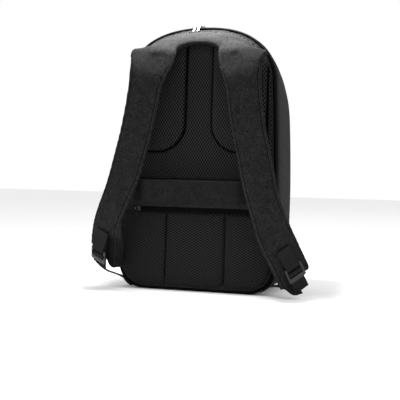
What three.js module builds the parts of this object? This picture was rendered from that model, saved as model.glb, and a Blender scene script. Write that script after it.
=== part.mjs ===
// A slim rucksack that opens only towards the wearer's back, standing on its flat base.
// Millimetres, +Z up. The straps and the padded back face -Y, the smooth front shell faces +Y.
// The origin is the middle of the base, on the surface that the bag stands on.
import * as THREE from "three";

// Clearance between pieces that touch, are sewn together or rest on each other.
const GAP = 0.3;

// Body: the outline of the back, seen square on, and the depth of the whole bag.
const BODY_HEIGHT = 443;
const HALF_WIDTH = 136.5;
const SHOULDER_HALF_WIDTH = 128;
const ARCH_HEIGHT = 100;
const ARCH_ROUNDNESS = 2.3;
const BOTTOM_CORNER = 46;
const BODY_DEPTH = 153;
const BACK_LEAN = 0.026;
const TOP_SETBACK = 14;
const TOP_ROUNDING = 53;

// Front shell: a padded cloth tub, open towards the back.
const SHELL_WALL = 3;
const SIDE_ROUND = 45;
const BASE_ROUND = 18;
const CROWN_ROUND = 42;
const SHELL_MIDDLE = 200;
const FRONT_SETBACK = 82;
const FRONT_KNEE = 270;
const FRONT_SETBACK_POWER = 2.2;
const FRONT_CROWN = 6;
const FRONT_BELLY = 5;
const SIDE_BULGE = 3.5;
const SHOULDER_FALL = 30;
const SHOULDER_DEPTH = 0.6;

// Opening seam: piping round the back panel, then the recessed zip band.
const PIPING_DIAMETER = 4.4;
const BAND_DEPTH = 16;
const BAND_INSET = 2;
const BAND_WALL = 1.6;
const ZIP_CHAIN_WIDTH = 6;
const ZIP_CHAIN_HEIGHT = 1.5;
const ZIP_END_HEIGHT = 70;

// Zip sliders and their bent pull tabs.
const SLIDER_LENGTH = 10;
const SLIDER_WIDTH = 7.5;
const SLIDER_HEIGHT = 3;
const SLIDER_PITCH = 12;
const SLIDER_OFFSET = 13.5;
const PULL_WIDTH = 3.6;
const PULL_THICKNESS = 1.1;
const PULL_DROP = 7;

// Back panel: a stiff padded board with mesh facings sewn on it.
const PANEL_THICKNESS = 6;
const FACING_MARGIN = 3.5;
const FACING_THICKNESS = 4;
const PANEL_SEAM = 0.8;

// Upper mesh, with a raised pad behind each shoulder blade and a channel between them.
const POCKET_ZIP_HEIGHT = 135;
const POCKET_BAND_HEIGHT = 51;
const POCKET_BAND_TOP = POCKET_ZIP_HEIGHT + POCKET_BAND_HEIGHT;
const SHOULDER_PAD_RISE = 6;
const CHANNEL_HALF_WIDTH = 22.5;
const SHOULDER_PAD_ABOVE_POCKET = 46;
const SHOULDER_PAD_BOTTOM = POCKET_BAND_TOP + SHOULDER_PAD_ABOVE_POCKET;
const SHOULDER_PAD_DROP = 75;
const SHOULDER_PAD_TOP = BODY_HEIGHT - SHOULDER_PAD_DROP;
const SHOULDER_PAD_CORNER = 48;
const SHOULDER_PAD_OUTER = 116;

// Zip of the pocket across the lower back, below the plain cloth band, and its slider.
const POCKET_ZIP_WIDTH = 7;
const POCKET_ZIP_END_INSET = 28.5;
const POCKET_ZIP_HALF_LENGTH = HALF_WIDTH - POCKET_ZIP_END_INSET;
const POCKET_ZIP_THICKNESS = 1.8;
const POCKET_SLIDER_INSET = 5;
const POCKET_SLIDER_ACROSS = POCKET_ZIP_HALF_LENGTH - POCKET_SLIDER_INSET;
const PULLER_LENGTH = 28;
const PULLER_WIDTH = 3;
const PULLER_THICKNESS = 1.6;

// Lumbar pads below the pocket.
const LUMBAR_RISE = 7;
const LUMBAR_BOTTOM = 8;
const LUMBAR_HALF_WIDTH = 51;
const LUMBAR_CORNER = 12;

// Yoke over the shoulders and the padded shoulder straps.
const YOKE_ROOT_THICKNESS = 28;
const YOKE_NECK_THICKNESS = 14;
const YOKE_OVERHANG = 8;
const YOKE_DROP = 54;
const YOKE_HEIGHT = BODY_HEIGHT - YOKE_DROP;
const NECK_HALF_WIDTH = 40;
const NECK_DROP = 33;
const NECK_HEIGHT = BODY_HEIGHT - NECK_DROP;
const STRAP_WIDTH = 56;
const STRAP_THICKNESS = 10.5;
const STRAP_STAND = 49;
const STRAP_TURN = 38;

// Webbing sewn to the straps, ladder locks and the lower webbing.
const WEBBING_WIDTH = 25;
const WEBBING_THICKNESS = 1.3;
const PATCH_LENGTH = 33;
const LOCK_WIDTH = 33;
const LOCK_BAR = 3;
const LOCK_THICKNESS = 2.6;
const LOCK_TAB = 7;
const LOCK_SLOT_UPPER = 7;
const LOCK_SLOT_LOWER = 4.6;
const LOCK_TAB_OVERHANG = 3;
const TAIL_LENGTH = { left: 5, right: 20 };
const FREE_WEBBING_TWIST = { left: 22, right: 0 };
const FREE_WEBBING_TILT = { left: 7, right: 0 };
const FOLD_DISTANCE = 12;
const FOLD_RADIUS = 1.4;
const CORNER_SEAM_ANGLE = 34;
const CORNER_SEAM_SPREAD = 12;

// Wide strap that slips over the handle of a wheeled suitcase.
const TROLLEY_STRAP_HEIGHT = 36;
const TROLLEY_STRAP_ABOVE_ZIP = 31;
const TROLLEY_STRAP_MIDDLE = POCKET_ZIP_HEIGHT + TROLLEY_STRAP_ABOVE_ZIP;
const TROLLEY_STRAP_THICKNESS = 3;
const TROLLEY_STRAP_STAND = 36;
const TROLLEY_FRONT_HALF_WIDTH = 80;
const TROLLEY_SEAM_ACROSS = 98;
const TROLLEY_SEAM_LENGTH = 11;

// Path of a shoulder strap's middle line, from the yoke down to its free end.
// height and across are shares of BODY_HEIGHT and HALF_WIDTH, stand is a share of STRAP_STAND in front of
// the panel, turn is a share of STRAP_TURN that the face is turned outwards, width a share of STRAP_WIDTH.
const STRAP_ROWS = [
  { height: 0.806, across: 0.5905, stand: 0.745, turn: 0, width: 1.13 },
  { height: 0.763, across: 0.6158, stand: 0.78, turn: 0, width: 1.02 },
  { height: 0.713, across: 0.6372, stand: 0.8, turn: 0, width: 1 },
  { height: 0.587, across: 0.7103, stand: 0.82, turn: 0, width: 0.97 },
  { height: 0.492, across: 0.7844, stand: 0.83, turn: 0.05, width: 0.97 },
  { height: 0.422, across: 0.8389, stand: 0.88, turn: 0.13, width: 0.96 },
  { height: 0.357, across: 0.9013, stand: 0.98, turn: 0.24, width: 0.92 },
  { height: 0.293, across: 0.9783, stand: 1, turn: 0.4, width: 0.94 },
];
const STRAP_ENDS = {
  right: [
    { height: 0.226, across: 1.051, stand: 0.86, turn: 0.7, width: 1.03 },
    { height: 0.155, across: 1.148, stand: 0.57, turn: 1, width: 1.08 },
    { height: 0.081, across: 1.245, stand: 0.24, turn: 1.05, width: 1.1 },
  ],
  left: [
    { height: 0.235, across: 1.047, stand: 0.88, turn: 0.5, width: 1 },
    { height: 0.175, across: 1.101, stand: 0.68, turn: 0.55, width: 1.03 },
    { height: 0.115, across: 1.145, stand: 0.42, turn: 0.55, width: 1.05 },
  ],
};

// Rounded end of the padded strap: distance from the tip as a share of the rounded length, and the share of
// the width and thickness there.
const STRAP_TIP_LENGTH = 12;
const STRAP_TIP = [
  { from: 1, width: 1, thickness: 1 },
  { from: 0.42, width: 0.98, thickness: 0.96 },
  { from: 0.125, width: 0.93, thickness: 0.84 },
  { from: 0, width: 0.84, thickness: 0.58 },
];

// Cross-section of a padded strap: shares of the half width and of the half thickness.
const PADDED_SECTION = [
  [-1, 0], [-0.95, 0.72], [-0.8, 1], [0, 1.04], [0.8, 1], [0.95, 0.72],
  [1, 0], [0.95, -0.72], [0.8, -1], [0, -1.04], [-0.8, -1], [-0.95, -0.72],
];
const FLAT_SECTION = [[-1, -1], [-1, 1], [1, 1], [1, -1]];
const CLOTH_SECTION = [[-1, 0], [-0.97, 1], [0.97, 1], [1, 0], [0.97, -1], [-0.97, -1]];

const COLOURS = {
  cloth: 0x29292b,
  strap: 0x303033,
  mesh: 0x1f1f21,
  black: 0x0c0c0d,
  webbing: 0x2c2c2e,
  plastic: 0x3a3a3d,
  metal: 0x8c8c90,
};

const rucksack = new THREE.Group();

function finish(kind) {
  const rough = { plastic: 0.42, metal: 0.35 }[kind] ?? 0.92;
  return new THREE.MeshStandardMaterial({
    color: COLOURS[kind],
    roughness: rough,
    metalness: kind === "metal" ? 0.9 : 0,
  });
}

function addPiece(name, geometry, kind) {
  const piece = new THREE.Mesh(geometry, finish(kind));
  piece.name = name;
  rucksack.add(piece);
  return piece;
}

// Small helpers on numbers and points.
const lerp = THREE.MathUtils.lerp;
const smooth = (low, high, value) => THREE.MathUtils.smoothstep(value, low, high);
const point = (x, y, z) => new THREE.Vector3(x, y, z);

function along(rows, key, position) {
  const place = Math.min(Math.max(position, 0), 1) * (rows.length - 1);
  const row = Math.min(Math.floor(place), rows.length - 2);
  return lerp(rows[row][key], rows[row + 1][key], place - row);
}

// A closed body from rings of equally many points. Open rows of rings are capped with fans at both ends.
function skin(rings, { closed = false, startPole = null, endPole = null } = {}) {
  const count = rings[0].length;
  const vertices = rings.flat().map((corner) => corner.clone());
  const faces = [];
  const last = closed ? rings.length : rings.length - 1;
  for (let ring = 0; ring < last; ring += 1) {
    const here = ring * count;
    const next = ((ring + 1) % rings.length) * count;
    for (let corner = 0; corner < count; corner += 1) {
      const after = (corner + 1) % count;
      faces.push([here + corner, here + after, next + after]);
      faces.push([here + corner, next + after, next + corner]);
    }
  }
  if (!closed) {
    const middle = (ring) => ring.reduce((sum, corner) => sum.add(corner), point(0, 0, 0)).divideScalar(count);
    const start = vertices.push(startPole ?? middle(rings[0])) - 1;
    const end = vertices.push(endPole ?? middle(rings[rings.length - 1])) - 1;
    const lastRing = (rings.length - 1) * count;
    for (let corner = 0; corner < count; corner += 1) {
      const after = (corner + 1) % count;
      faces.push([start, after, corner]);
      faces.push([end, lastRing + corner, lastRing + after]);
    }
  }
  const volume = faces.reduce((sum, [a, b, c]) => {
    return sum + vertices[a].dot(vertices[b].clone().cross(vertices[c]));
  }, 0);
  const turned = volume < 0 ? faces.map(([a, b, c]) => [a, c, b]) : faces;
  const geometry = new THREE.BufferGeometry();
  const places = turned.flat().flatMap((index) => vertices[index].toArray());
  geometry.setAttribute("position", new THREE.Float32BufferAttribute(places, 3));
  geometry.computeVertexNormals();
  return geometry;
}

// A body swept through stations, each with a middle, a width direction and a face normal.
function sweep(stations, section, closed = false) {
  const rings = stations.map(({ middle, across, normal, width, thickness }) => {
    return section.map(([u, v]) => {
      return middle.clone().addScaledVector(across, (u * width) / 2).addScaledVector(normal, (v * thickness) / 2);
    });
  });
  return skin(rings, { closed });
}

// Stations of a band along a list of middles, with one width direction for each of them.
function bandStations(middles, acrosses, width, thickness) {
  return middles.map((middle, index) => {
    const before = middles[Math.max(index - 1, 0)];
    const after = middles[Math.min(index + 1, middles.length - 1)];
    const forward = after.clone().sub(before).normalize();
    const across = acrosses[index].clone().addScaledVector(forward, -acrosses[index].dot(forward)).normalize();
    const normal = forward.clone().cross(across).normalize();
    return { middle, across, normal, width, thickness };
  });
}

// The back plane: it leans slightly forward over the bag and rounds back over the top.
const BACK_Y = -BODY_DEPTH / 2;

function backY(height) {
  const start = BODY_HEIGHT - TOP_ROUNDING;
  const radius = (TOP_ROUNDING ** 2 + TOP_SETBACK ** 2) / (2 * TOP_SETBACK);
  const climb = Math.min(Math.max(height - start, 0), TOP_ROUNDING);
  return BACK_Y + height * BACK_LEAN + radius - Math.sqrt(radius ** 2 - climb ** 2);
}

// Outline of the back, anticlockwise from the middle of the base: points with outward normals.
const ARCH_START = BODY_HEIGHT - ARCH_HEIGHT;

function sideHalfWidth(height) {
  const share = (height - BOTTOM_CORNER) / (ARCH_START - BOTTOM_CORNER);
  return lerp(HALF_WIDTH, SHOULDER_HALF_WIDTH, share * Math.abs(share));
}

function archHalfWidth(height) {
  const climb = Math.min(Math.max(height - ARCH_START, 0) / ARCH_HEIGHT, 1);
  return SHOULDER_HALF_WIDTH * (1 - climb ** ARCH_ROUNDNESS) ** (1 / ARCH_ROUNDNESS);
}

function rightHalfOutline() {
  const half = [];
  const baseSteps = 4;
  for (let step = 0; step < baseSteps; step += 1) {
    half.push([((HALF_WIDTH - BOTTOM_CORNER) * (step + 0.5)) / (baseSteps + 0.5), 0]);
  }
  const cornerSteps = 6;
  for (let step = 0; step < cornerSteps; step += 1) {
    const angle = ((step / cornerSteps) * Math.PI) / 2;
    half.push([
      HALF_WIDTH - BOTTOM_CORNER + BOTTOM_CORNER * Math.sin(angle),
      BOTTOM_CORNER - BOTTOM_CORNER * Math.cos(angle),
    ]);
  }
  const sideSteps = 6;
  for (let step = 0; step < sideSteps; step += 1) {
    const height = lerp(BOTTOM_CORNER, ARCH_START, step / sideSteps);
    half.push([sideHalfWidth(height), height]);
  }
  const archSteps = 12;
  const power = 2 / ARCH_ROUNDNESS;
  for (let step = 0; step <= archSteps; step += 1) {
    const angle = ((step / archSteps) * Math.PI) / 2;
    const across = SHOULDER_HALF_WIDTH * Math.max(Math.cos(angle), 0) ** power;
    half.push([step === archSteps ? 0 : across, ARCH_START + ARCH_HEIGHT * Math.sin(angle) ** power]);
  }
  return half;
}

function wholeOutline() {
  const half = rightHalfOutline();
  const mirrored = half.slice(0, -1).reverse().map(([x, z]) => [-x, z]);
  const places = [...half, ...mirrored];
  return places.map(([x, z], index) => {
    const before = places[(index + places.length - 1) % places.length];
    const after = places[(index + 1) % places.length];
    const length = Math.hypot(after[0] - before[0], after[1] - before[1]);
    return { x, z, outX: (after[1] - before[1]) / length, outZ: -(after[0] - before[0]) / length };
  });
}

const OUTLINE = wholeOutline();

function inset(place, distance) {
  return { x: place.x - place.outX * distance, z: place.z - place.outZ * distance };
}

// Depths behind the back plane at which the band and the shell start.
const BAND_START = PIPING_DIAMETER + GAP;
const SHELL_START = BAND_START + BAND_DEPTH + GAP;
const FRONT_Y = BODY_DEPTH / 2;

function frontY(x, z) {
  const climb = Math.max(z - FRONT_KNEE, 0) / (BODY_HEIGHT - FRONT_KNEE);
  const setback = FRONT_SETBACK * climb ** FRONT_SETBACK_POWER;
  const low = Math.max(FRONT_KNEE - z, 0) / FRONT_KNEE;
  return FRONT_Y - setback - FRONT_CROWN * (x / HALF_WIDTH) ** 2 - FRONT_BELLY * low ** 2;
}

// One wall face of the shell: rings from the open edge to the middle of the front.
function shellRings(wall) {
  const arcSteps = 6;
  const straightShares = [0, 0.35, 1];
  const rings = [];
  const shrink = (place, share) => {
    const round = place.z > SHELL_MIDDLE ? CROWN_ROUND : BASE_ROUND;
    const reach = place.z > SHELL_MIDDLE ? BODY_HEIGHT - SHELL_MIDDLE : SHELL_MIDDLE;
    return {
      x: place.x * (1 - (share * SIDE_ROUND) / HALF_WIDTH),
      z: SHELL_MIDDLE + (place.z - SHELL_MIDDLE) * (1 - (share * round) / reach),
    };
  };
  const edge = OUTLINE.map((outer) => {
    const place = inset(outer, wall);
    const start = backY(outer.z) + SHELL_START;
    const rim = shrink(place, 1);
    const end = frontY(rim.x, rim.z) - wall;
    const round = lerp(BASE_ROUND, SIDE_ROUND, smooth(0, 2 * BOTTOM_CORNER, outer.z));
    const crown = smooth(0.15, 0.85, outer.outZ);
    const straight = Math.max(1 - round / (end - start), 0.1) * (1 - crown);
    return { outer, place, start, end, straight, crown };
  });
  const narrowed = (outer, depth) => {
    const fall = SHOULDER_FALL * Math.min(depth / SHOULDER_DEPTH, 1);
    const height = ARCH_HEIGHT + fall;
    const climb = Math.min(Math.max(outer.z - BODY_HEIGHT + height, 0) / height, 1);
    const before = Math.min(Math.max(outer.z - ARCH_START, 0) / ARCH_HEIGHT, 1);
    const share = (1 - climb ** ARCH_ROUNDNESS) / Math.max(1 - before ** ARCH_ROUNDNESS, 1e-6);
    return before === 1 ? 1 : share ** (1 / ARCH_ROUNDNESS);
  };
  for (let step = 0; step < straightShares.length + arcSteps; step += 1) {
    rings.push(edge.map(({ outer, place, start, end, straight, crown }) => {
      const onArc = step >= straightShares.length;
      const angle = onArc ? (((step - straightShares.length + 1) / arcSteps) * Math.PI) / 2 : 0;
      const depth = onArc
        ? straight + (1 - straight) * Math.sin(angle)
        : lerp(straight, 0.04, crown) * straightShares[step];
      const round = lerp(1 - Math.cos(angle), Math.sin(angle) ** 2, crown);
      const spot = shrink(place, onArc ? round : 0);
      const bulge = 4 * depth * (1 - depth) * SIDE_BULGE * outer.outX;
      return point(spot.x * narrowed(outer, depth) + bulge, lerp(start, end, depth), spot.z);
    }));
  }
  for (const share of [0.78, 0.52, 0.26]) {
    rings.push(edge.map(({ outer, place }) => {
      const rim = shrink(place, 1);
      const x = rim.x * share * narrowed(outer, 1);
      const z = SHELL_MIDDLE + (rim.z - SHELL_MIDDLE) * share;
      return point(x, frontY(x, z) - wall, z);
    }));
  }
  return rings;
}

function frontShell() {
  const outer = shellRings(0);
  const inner = shellRings(SHELL_WALL);
  const pole = (wall) => point(0, frontY(0, SHELL_MIDDLE) - wall, SHELL_MIDDLE);
  return skin([...outer.reverse(), ...inner], { startPole: pole(0), endPole: pole(SHELL_WALL) });
}

addPiece("front_shell", frontShell(), "cloth");

// Recessed band between the piping and the shell. It carries the zip.
function zipBand() {
  const sections = OUTLINE.map((place) => {
    const outer = inset(place, BAND_INSET);
    const inner = inset(place, BAND_INSET + BAND_WALL);
    const front = backY(place.z) + BAND_START;
    return [
      point(outer.x, front, outer.z),
      point(outer.x, front + BAND_DEPTH, outer.z),
      point(inner.x, front + BAND_DEPTH, inner.z),
      point(inner.x, front, inner.z),
    ];
  });
  return skin(sections, { closed: true });
}

addPiece("zip_band", zipBand(), "black");

// Piping round the whole edge of the back panel.
function rimPiping() {
  const sides = 8;
  const radius = PIPING_DIAMETER / 2;
  const sections = OUTLINE.map((place) => {
    const centre = inset(place, radius);
    return Array.from({ length: sides }, (_, side) => {
      const angle = ((side + 0.5) / sides) * 2 * Math.PI;
      const out = radius * Math.cos(angle);
      const back = radius * Math.sin(angle);
      return point(centre.x + place.outX * out, backY(place.z) + radius + back, centre.z + place.outZ * out);
    });
  });
  return skin(sections, { closed: true });
}

addPiece("rim_piping", rimPiping(), "black");

// Zip chain on the band, from one lower side over the top to the other.
function zipChain() {
  const over = OUTLINE.filter((place) => place.z > ZIP_END_HEIGHT + GAP);
  const end = (side) => ({ x: side * sideHalfWidth(ZIP_END_HEIGHT), z: ZIP_END_HEIGHT, outX: side, outZ: 0 });
  const stretch = [end(1), ...over, end(-1)];
  const middleDepth = BAND_START + BAND_DEPTH / 2;
  const rings = stretch.map((place) => {
    const low = inset(place, BAND_INSET - GAP);
    const high = inset(place, BAND_INSET - GAP - ZIP_CHAIN_HEIGHT);
    const front = backY(place.z) + middleDepth - ZIP_CHAIN_WIDTH / 2;
    const back = front + ZIP_CHAIN_WIDTH;
    return [point(low.x, front, low.z), point(low.x, back, low.z), point(high.x, back, high.z), point(high.x, front, high.z)];
  });
  return skin(rings);
}

addPiece("zip_chain", zipChain(), "black");

// Two sliders nose to nose at the top, each with a pull tab bent over the piping.
function topPlace(x) {
  const share = (Math.abs(x) / SHOULDER_HALF_WIDTH) ** ARCH_ROUNDNESS;
  const z = ARCH_START + ARCH_HEIGHT * (1 - share) ** (1 / ARCH_ROUNDNESS);
  const reach = 1;
  const shareAfter = (Math.abs(x + reach) / SHOULDER_HALF_WIDTH) ** ARCH_ROUNDNESS;
  const zAfter = ARCH_START + ARCH_HEIGHT * (1 - shareAfter) ** (1 / ARCH_ROUNDNESS);
  return { x, z, slope: Math.atan2(zAfter - z, reach) };
}

function sliderGeometry(direction) {
  const outline = new THREE.Shape();
  const halfLength = SLIDER_LENGTH / 2;
  const halfWidth = SLIDER_WIDTH / 2;
  outline.moveTo(-halfLength * direction, -halfWidth * 0.62);
  outline.lineTo(halfLength * 0.2 * direction, -halfWidth);
  outline.lineTo(halfLength * direction, -halfWidth * 0.8);
  outline.lineTo(halfLength * direction, halfWidth * 0.8);
  outline.lineTo(halfLength * 0.2 * direction, halfWidth);
  outline.lineTo(-halfLength * direction, halfWidth * 0.62);
  return new THREE.ExtrudeGeometry(outline, { depth: SLIDER_HEIGHT, bevelEnabled: false });
}

function addZipSlider(name, x, direction) {
  const place = topPlace(x);
  const lift = GAP + GAP + ZIP_CHAIN_HEIGHT - BAND_INSET;
  const slider = addPiece(name, sliderGeometry(direction), "metal");
  const middleDepth = BAND_START + BAND_DEPTH / 2;
  slider.position.set(
    x - Math.sin(place.slope) * lift,
    backY(place.z) + middleDepth,
    place.z + Math.cos(place.slope) * lift,
  );
  slider.rotation.y = -place.slope;
}

function pullTab(x) {
  const place = topPlace(x);
  const top = place.z + GAP + GAP + ZIP_CHAIN_HEIGHT - BAND_INSET + SLIDER_HEIGHT + GAP + PULL_THICKNESS / 2;
  const middleDepth = BAND_START + BAND_DEPTH / 2;
  const plane = backY(place.z);
  const clear = GAP + PULL_THICKNESS / 2;
  const above = place.z + clear;
  const route = [
    [plane + middleDepth + SLIDER_WIDTH / 4, top],
    [plane + middleDepth - SLIDER_WIDTH / 2 - clear, top],
    [plane + PIPING_DIAMETER, above + 0.6],
    [plane + PIPING_DIAMETER / 2, above],
    [plane + 0.15 * PIPING_DIAMETER, above - 0.3],
    [plane - 1.1 * clear, place.z - 0.9],
    [backY(place.z - PULL_DROP / 2) - 1.6 * clear, place.z - PULL_DROP / 2],
    [backY(place.z - PULL_DROP) - 1.8 * clear, place.z - PULL_DROP],
  ];
  const middles = route.map(([y, z]) => point(x, y, z));
  const acrosses = middles.map(() => point(1, 0, 0));
  return sweep(bandStations(middles, acrosses, PULL_WIDTH, PULL_THICKNESS), FLAT_SECTION);
}

for (const [name, direction] of [["left", -1], ["right", 1]]) {
  const x = -SLIDER_OFFSET + (direction * SLIDER_PITCH) / 2;
  addZipSlider(`zip_slider_${name}`, x, direction);
  addPiece(`zip_pull_${name}`, pullTab(x - (direction * SLIDER_LENGTH) / 4), "metal");
}

// Heights at which everything on the back plane has a row, so that all pieces bend alike over the top.
const BEND_ROWS = Array.from({ length: 7 }, (_, row) => BODY_HEIGHT - TOP_ROUNDING + (TOP_ROUNDING * row) / 7);

// Half width of the back's outline at a height, set in by a margin.
function outlineHalfWidth(height, margin) {
  const upper = (height - ARCH_START) / (ARCH_HEIGHT - margin);
  if (upper > 0) {
    return (SHOULDER_HALF_WIDTH - margin) * (1 - Math.min(upper, 1) ** ARCH_ROUNDNESS) ** (1 / ARCH_ROUNDNESS);
  }
  const lower = Math.max((BOTTOM_CORNER - height) / (BOTTOM_CORNER - margin), 0);
  const corner = (BOTTOM_CORNER - margin) * (1 - Math.sqrt(Math.max(1 - lower ** 2, 0)));
  return sideHalfWidth(Math.max(height, BOTTOM_CORNER)) - margin - corner;
}

// Heights spread over a stretch: closer together where the outline turns.
function heightsBetween(low, high) {
  const corner = [0, 0.14, 0.32, 0.55, 0.8, 1].map((share) => share * BOTTOM_CORNER);
  const sides = [0.2, 0.4, 0.6, 0.8, 1].map((share) => lerp(BOTTOM_CORNER, ARCH_START, share));
  const arch = [0.18, 0.34].map((share) => ARCH_START + share * ARCH_HEIGHT);
  return [...corner, ...sides, ...arch, ...BEND_ROWS].filter((height) => height > low && height < high);
}

// A piece that lies on the back plane, built in level rows between two heights.
// limits gives the left and right edge at a height. The rim is rounded over the edge distance.
function pad({ low, high, limits, base, rise, edge, crown = 0, moreRows = [] }) {
  const roundness = [[0, 0.4], [0.35, 0.8], [1, 1]];
  const ends = roundness.flatMap(([share]) => [low + share * edge, high - share * edge]);
  const inside = [...heightsBetween(low, high), ...moreRows].filter((height) => {
    return height > low + edge + 1 && height < high - edge - 1;
  });
  const heights = [...ends, ...inside].sort((first, second) => first - second);
  const lift = (distance) => {
    const share = Math.min(Math.max(distance / edge, 0), 1);
    return share < 0.35 ? lerp(0.4, 0.8, share / 0.35) : lerp(0.8, 1, (share - 0.35) / 0.65);
  };
  const rings = heights.map((height) => {
    const [left, right] = limits(height);
    const raised = rise * lift(Math.min(height - low, high - height));
    const swell = crown * Math.sqrt(Math.max(Math.sin((Math.PI * (height - low)) / (high - low)), 0));
    const rim = roundness.map(([share, level]) => ({ step: share * edge, level: base + raised * level }));
    const face = [0.25, 0.5, 0.75].map((share) => {
      const x = lerp(left + edge, right - edge, share);
      return [x, base + raised + swell * 4 * share * (1 - share)];
    });
    const section = [
      [left, base],
      ...rim.map(({ step, level }) => [left + step, level]),
      ...face,
      ...rim.slice().reverse().map(({ step, level }) => [right - step, level]),
      [right, base],
      [(left + right) / 2, base],
    ];
    return section.map(([x, stand]) => point(x, backY(height) - stand, height));
  });
  return skin(rings);
}

const mirrored = (halfWidth) => (height) => [-halfWidth(height), halfWidth(height)];
const towards = (side, inner, outer) => (height) => {
  const edges = [side * inner(height), side * outer(height)];
  return edges.sort((first, second) => first - second);
};

// Back panel board inside the piping.
function backPanel() {
  const margin = PIPING_DIAMETER + GAP;
  const low = margin;
  const high = BODY_HEIGHT - margin - 1;
  const heights = [low, ...heightsBetween(low + 1, high - 1), high];
  const rings = heights.map((height) => {
    const half = outlineHalfWidth(height, margin);
    const corners = [[-half, 0], [half, 0], [half, PANEL_THICKNESS], [-half, PANEL_THICKNESS]];
    return corners.map(([x, depth]) => point(x, backY(height) + depth, height));
  });
  return skin(rings);
}

addPiece("back_panel", backPanel(), "cloth");

// Mesh facing of the upper back.
const FACING_INSET = PIPING_DIAMETER + FACING_MARGIN;
const facingHalfWidth = (height) => outlineHalfWidth(height, FACING_INSET);

function upperMesh() {
  const low = POCKET_BAND_TOP + PANEL_SEAM;
  const high = BODY_HEIGHT - FACING_INSET - 1;
  const edge = FACING_THICKNESS;
  return pad({ low, high, limits: mirrored(facingHalfWidth), base: GAP, rise: FACING_THICKNESS, edge });
}

addPiece("upper_mesh", upperMesh(), "mesh");

// Distance that a rounded corner takes off an edge, at a height above the corner's lowest point.
function cornerCut(radius, above) {
  const share = Math.max(1 - above / radius, 0);
  return radius * (1 - Math.sqrt(Math.max(1 - share ** 2, 0)));
}

// Raised pad behind a shoulder blade: straight along the channel, round at its lower inner corner.
function shoulderPad(side) {
  const low = SHOULDER_PAD_BOTTOM;
  const high = SHOULDER_PAD_TOP;
  const inner = (height) => CHANNEL_HALF_WIDTH + cornerCut(SHOULDER_PAD_CORNER, height - low);
  const outer = (height) => {
    const edge = Math.min(SHOULDER_PAD_OUTER, facingHalfWidth(height) - FACING_THICKNESS);
    return edge - cornerCut(SHOULDER_PAD_CORNER / 3, height - low);
  };
  const moreRows = [0.3, 0.55, 0.8, 1].map((share) => low + share * SHOULDER_PAD_CORNER);
  const base = GAP + FACING_THICKNESS + GAP;
  const edge = SHOULDER_PAD_RISE;
  const rise = SHOULDER_PAD_RISE * 0.7;
  const crown = SHOULDER_PAD_RISE - rise;
  return pad({ low, high, limits: towards(side, inner, outer), base, rise, edge, crown, moreRows });
}

for (const [name, side] of [["left", -1], ["right", 1]]) {
  addPiece(`shoulder_pad_${name}`, shoulderPad(side), "mesh");
}

// Plain cloth band over the pocket, and the pocket's zip tape under it.
const POCKET_ZIP_TOP = POCKET_ZIP_HEIGHT + POCKET_ZIP_WIDTH / 2;
const POCKET_ZIP_BOTTOM = POCKET_ZIP_HEIGHT - POCKET_ZIP_WIDTH / 2;

function pocketBand() {
  const low = POCKET_ZIP_TOP + PANEL_SEAM;
  const high = POCKET_BAND_TOP;
  const edge = FACING_THICKNESS;
  return pad({ low, high, limits: mirrored(facingHalfWidth), base: GAP, rise: FACING_THICKNESS, edge });
}

addPiece("pocket_band", pocketBand(), "cloth");

function pocketZip() {
  const middles = [-1, 1].map((side) => {
    const depth = backY(POCKET_ZIP_HEIGHT) - GAP - POCKET_ZIP_THICKNESS / 2;
    return point(side * POCKET_ZIP_HALF_LENGTH, depth, POCKET_ZIP_HEIGHT);
  });
  const upward = point(0, BACK_LEAN, 1).normalize();
  return sweep(bandStations(middles, [upward, upward], POCKET_ZIP_WIDTH - GAP, POCKET_ZIP_THICKNESS), FLAT_SECTION);
}

addPiece("pocket_zip", pocketZip(), "black");

const POCKET_SLIDER_DEPTH = GAP + POCKET_ZIP_THICKNESS + GAP;

function addPocketSlider() {
  const slider = addPiece("pocket_slider", sliderGeometry(1), "metal");
  slider.rotation.x = Math.PI / 2 + Math.atan(BACK_LEAN);
  slider.position.set(-POCKET_SLIDER_ACROSS, backY(POCKET_ZIP_HEIGHT) - POCKET_SLIDER_DEPTH, POCKET_ZIP_HEIGHT);
}

function pocketPuller() {
  const depth = POCKET_SLIDER_DEPTH + SLIDER_HEIGHT + GAP + PULLER_THICKNESS / 2;
  const lowDepth = Math.max(depth, GAP + LUMBAR_RISE + GAP + PULLER_THICKNESS / 2 + GAP);
  const shares = [0, 0.12, 0.3, 0.65, 1];
  const middles = shares.map((share) => {
    const height = POCKET_ZIP_HEIGHT + SLIDER_WIDTH / 4 - share * (PULLER_LENGTH + SLIDER_WIDTH / 4);
    return point(-POCKET_SLIDER_ACROSS, backY(height) - lerp(depth, lowDepth, smooth(0, 0.3, share)), height);
  });
  const acrosses = middles.map(() => point(1, 0, 0));
  return sweep(bandStations(middles, acrosses, PULLER_WIDTH, PULLER_THICKNESS), CLOTH_SECTION);
}

addPocketSlider();
addPiece("pocket_puller", pocketPuller(), "webbing");

// Lumbar pads below the pocket zip: one in the middle and one at each side.
const LUMBAR_PROFILE = { base: GAP, rise: LUMBAR_RISE * 0.85, edge: LUMBAR_RISE * 0.8, crown: LUMBAR_RISE * 0.15 };
const LUMBAR_TOP = POCKET_ZIP_BOTTOM - PANEL_SEAM;

function lumbarPad() {
  const low = LUMBAR_BOTTOM;
  const half = (height) => LUMBAR_HALF_WIDTH - cornerCut(LUMBAR_CORNER, height - low);
  return pad({ low, high: LUMBAR_TOP, limits: mirrored(half), ...LUMBAR_PROFILE });
}

addPiece("lumbar_pad", lumbarPad(), "mesh");

function lumbarWing(side) {
  const inner = () => LUMBAR_HALF_WIDTH + PANEL_SEAM;
  return pad({
    low: LUMBAR_BOTTOM,
    high: LUMBAR_TOP,
    limits: towards(side, inner, facingHalfWidth),
    ...LUMBAR_PROFILE,
  });
}

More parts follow.
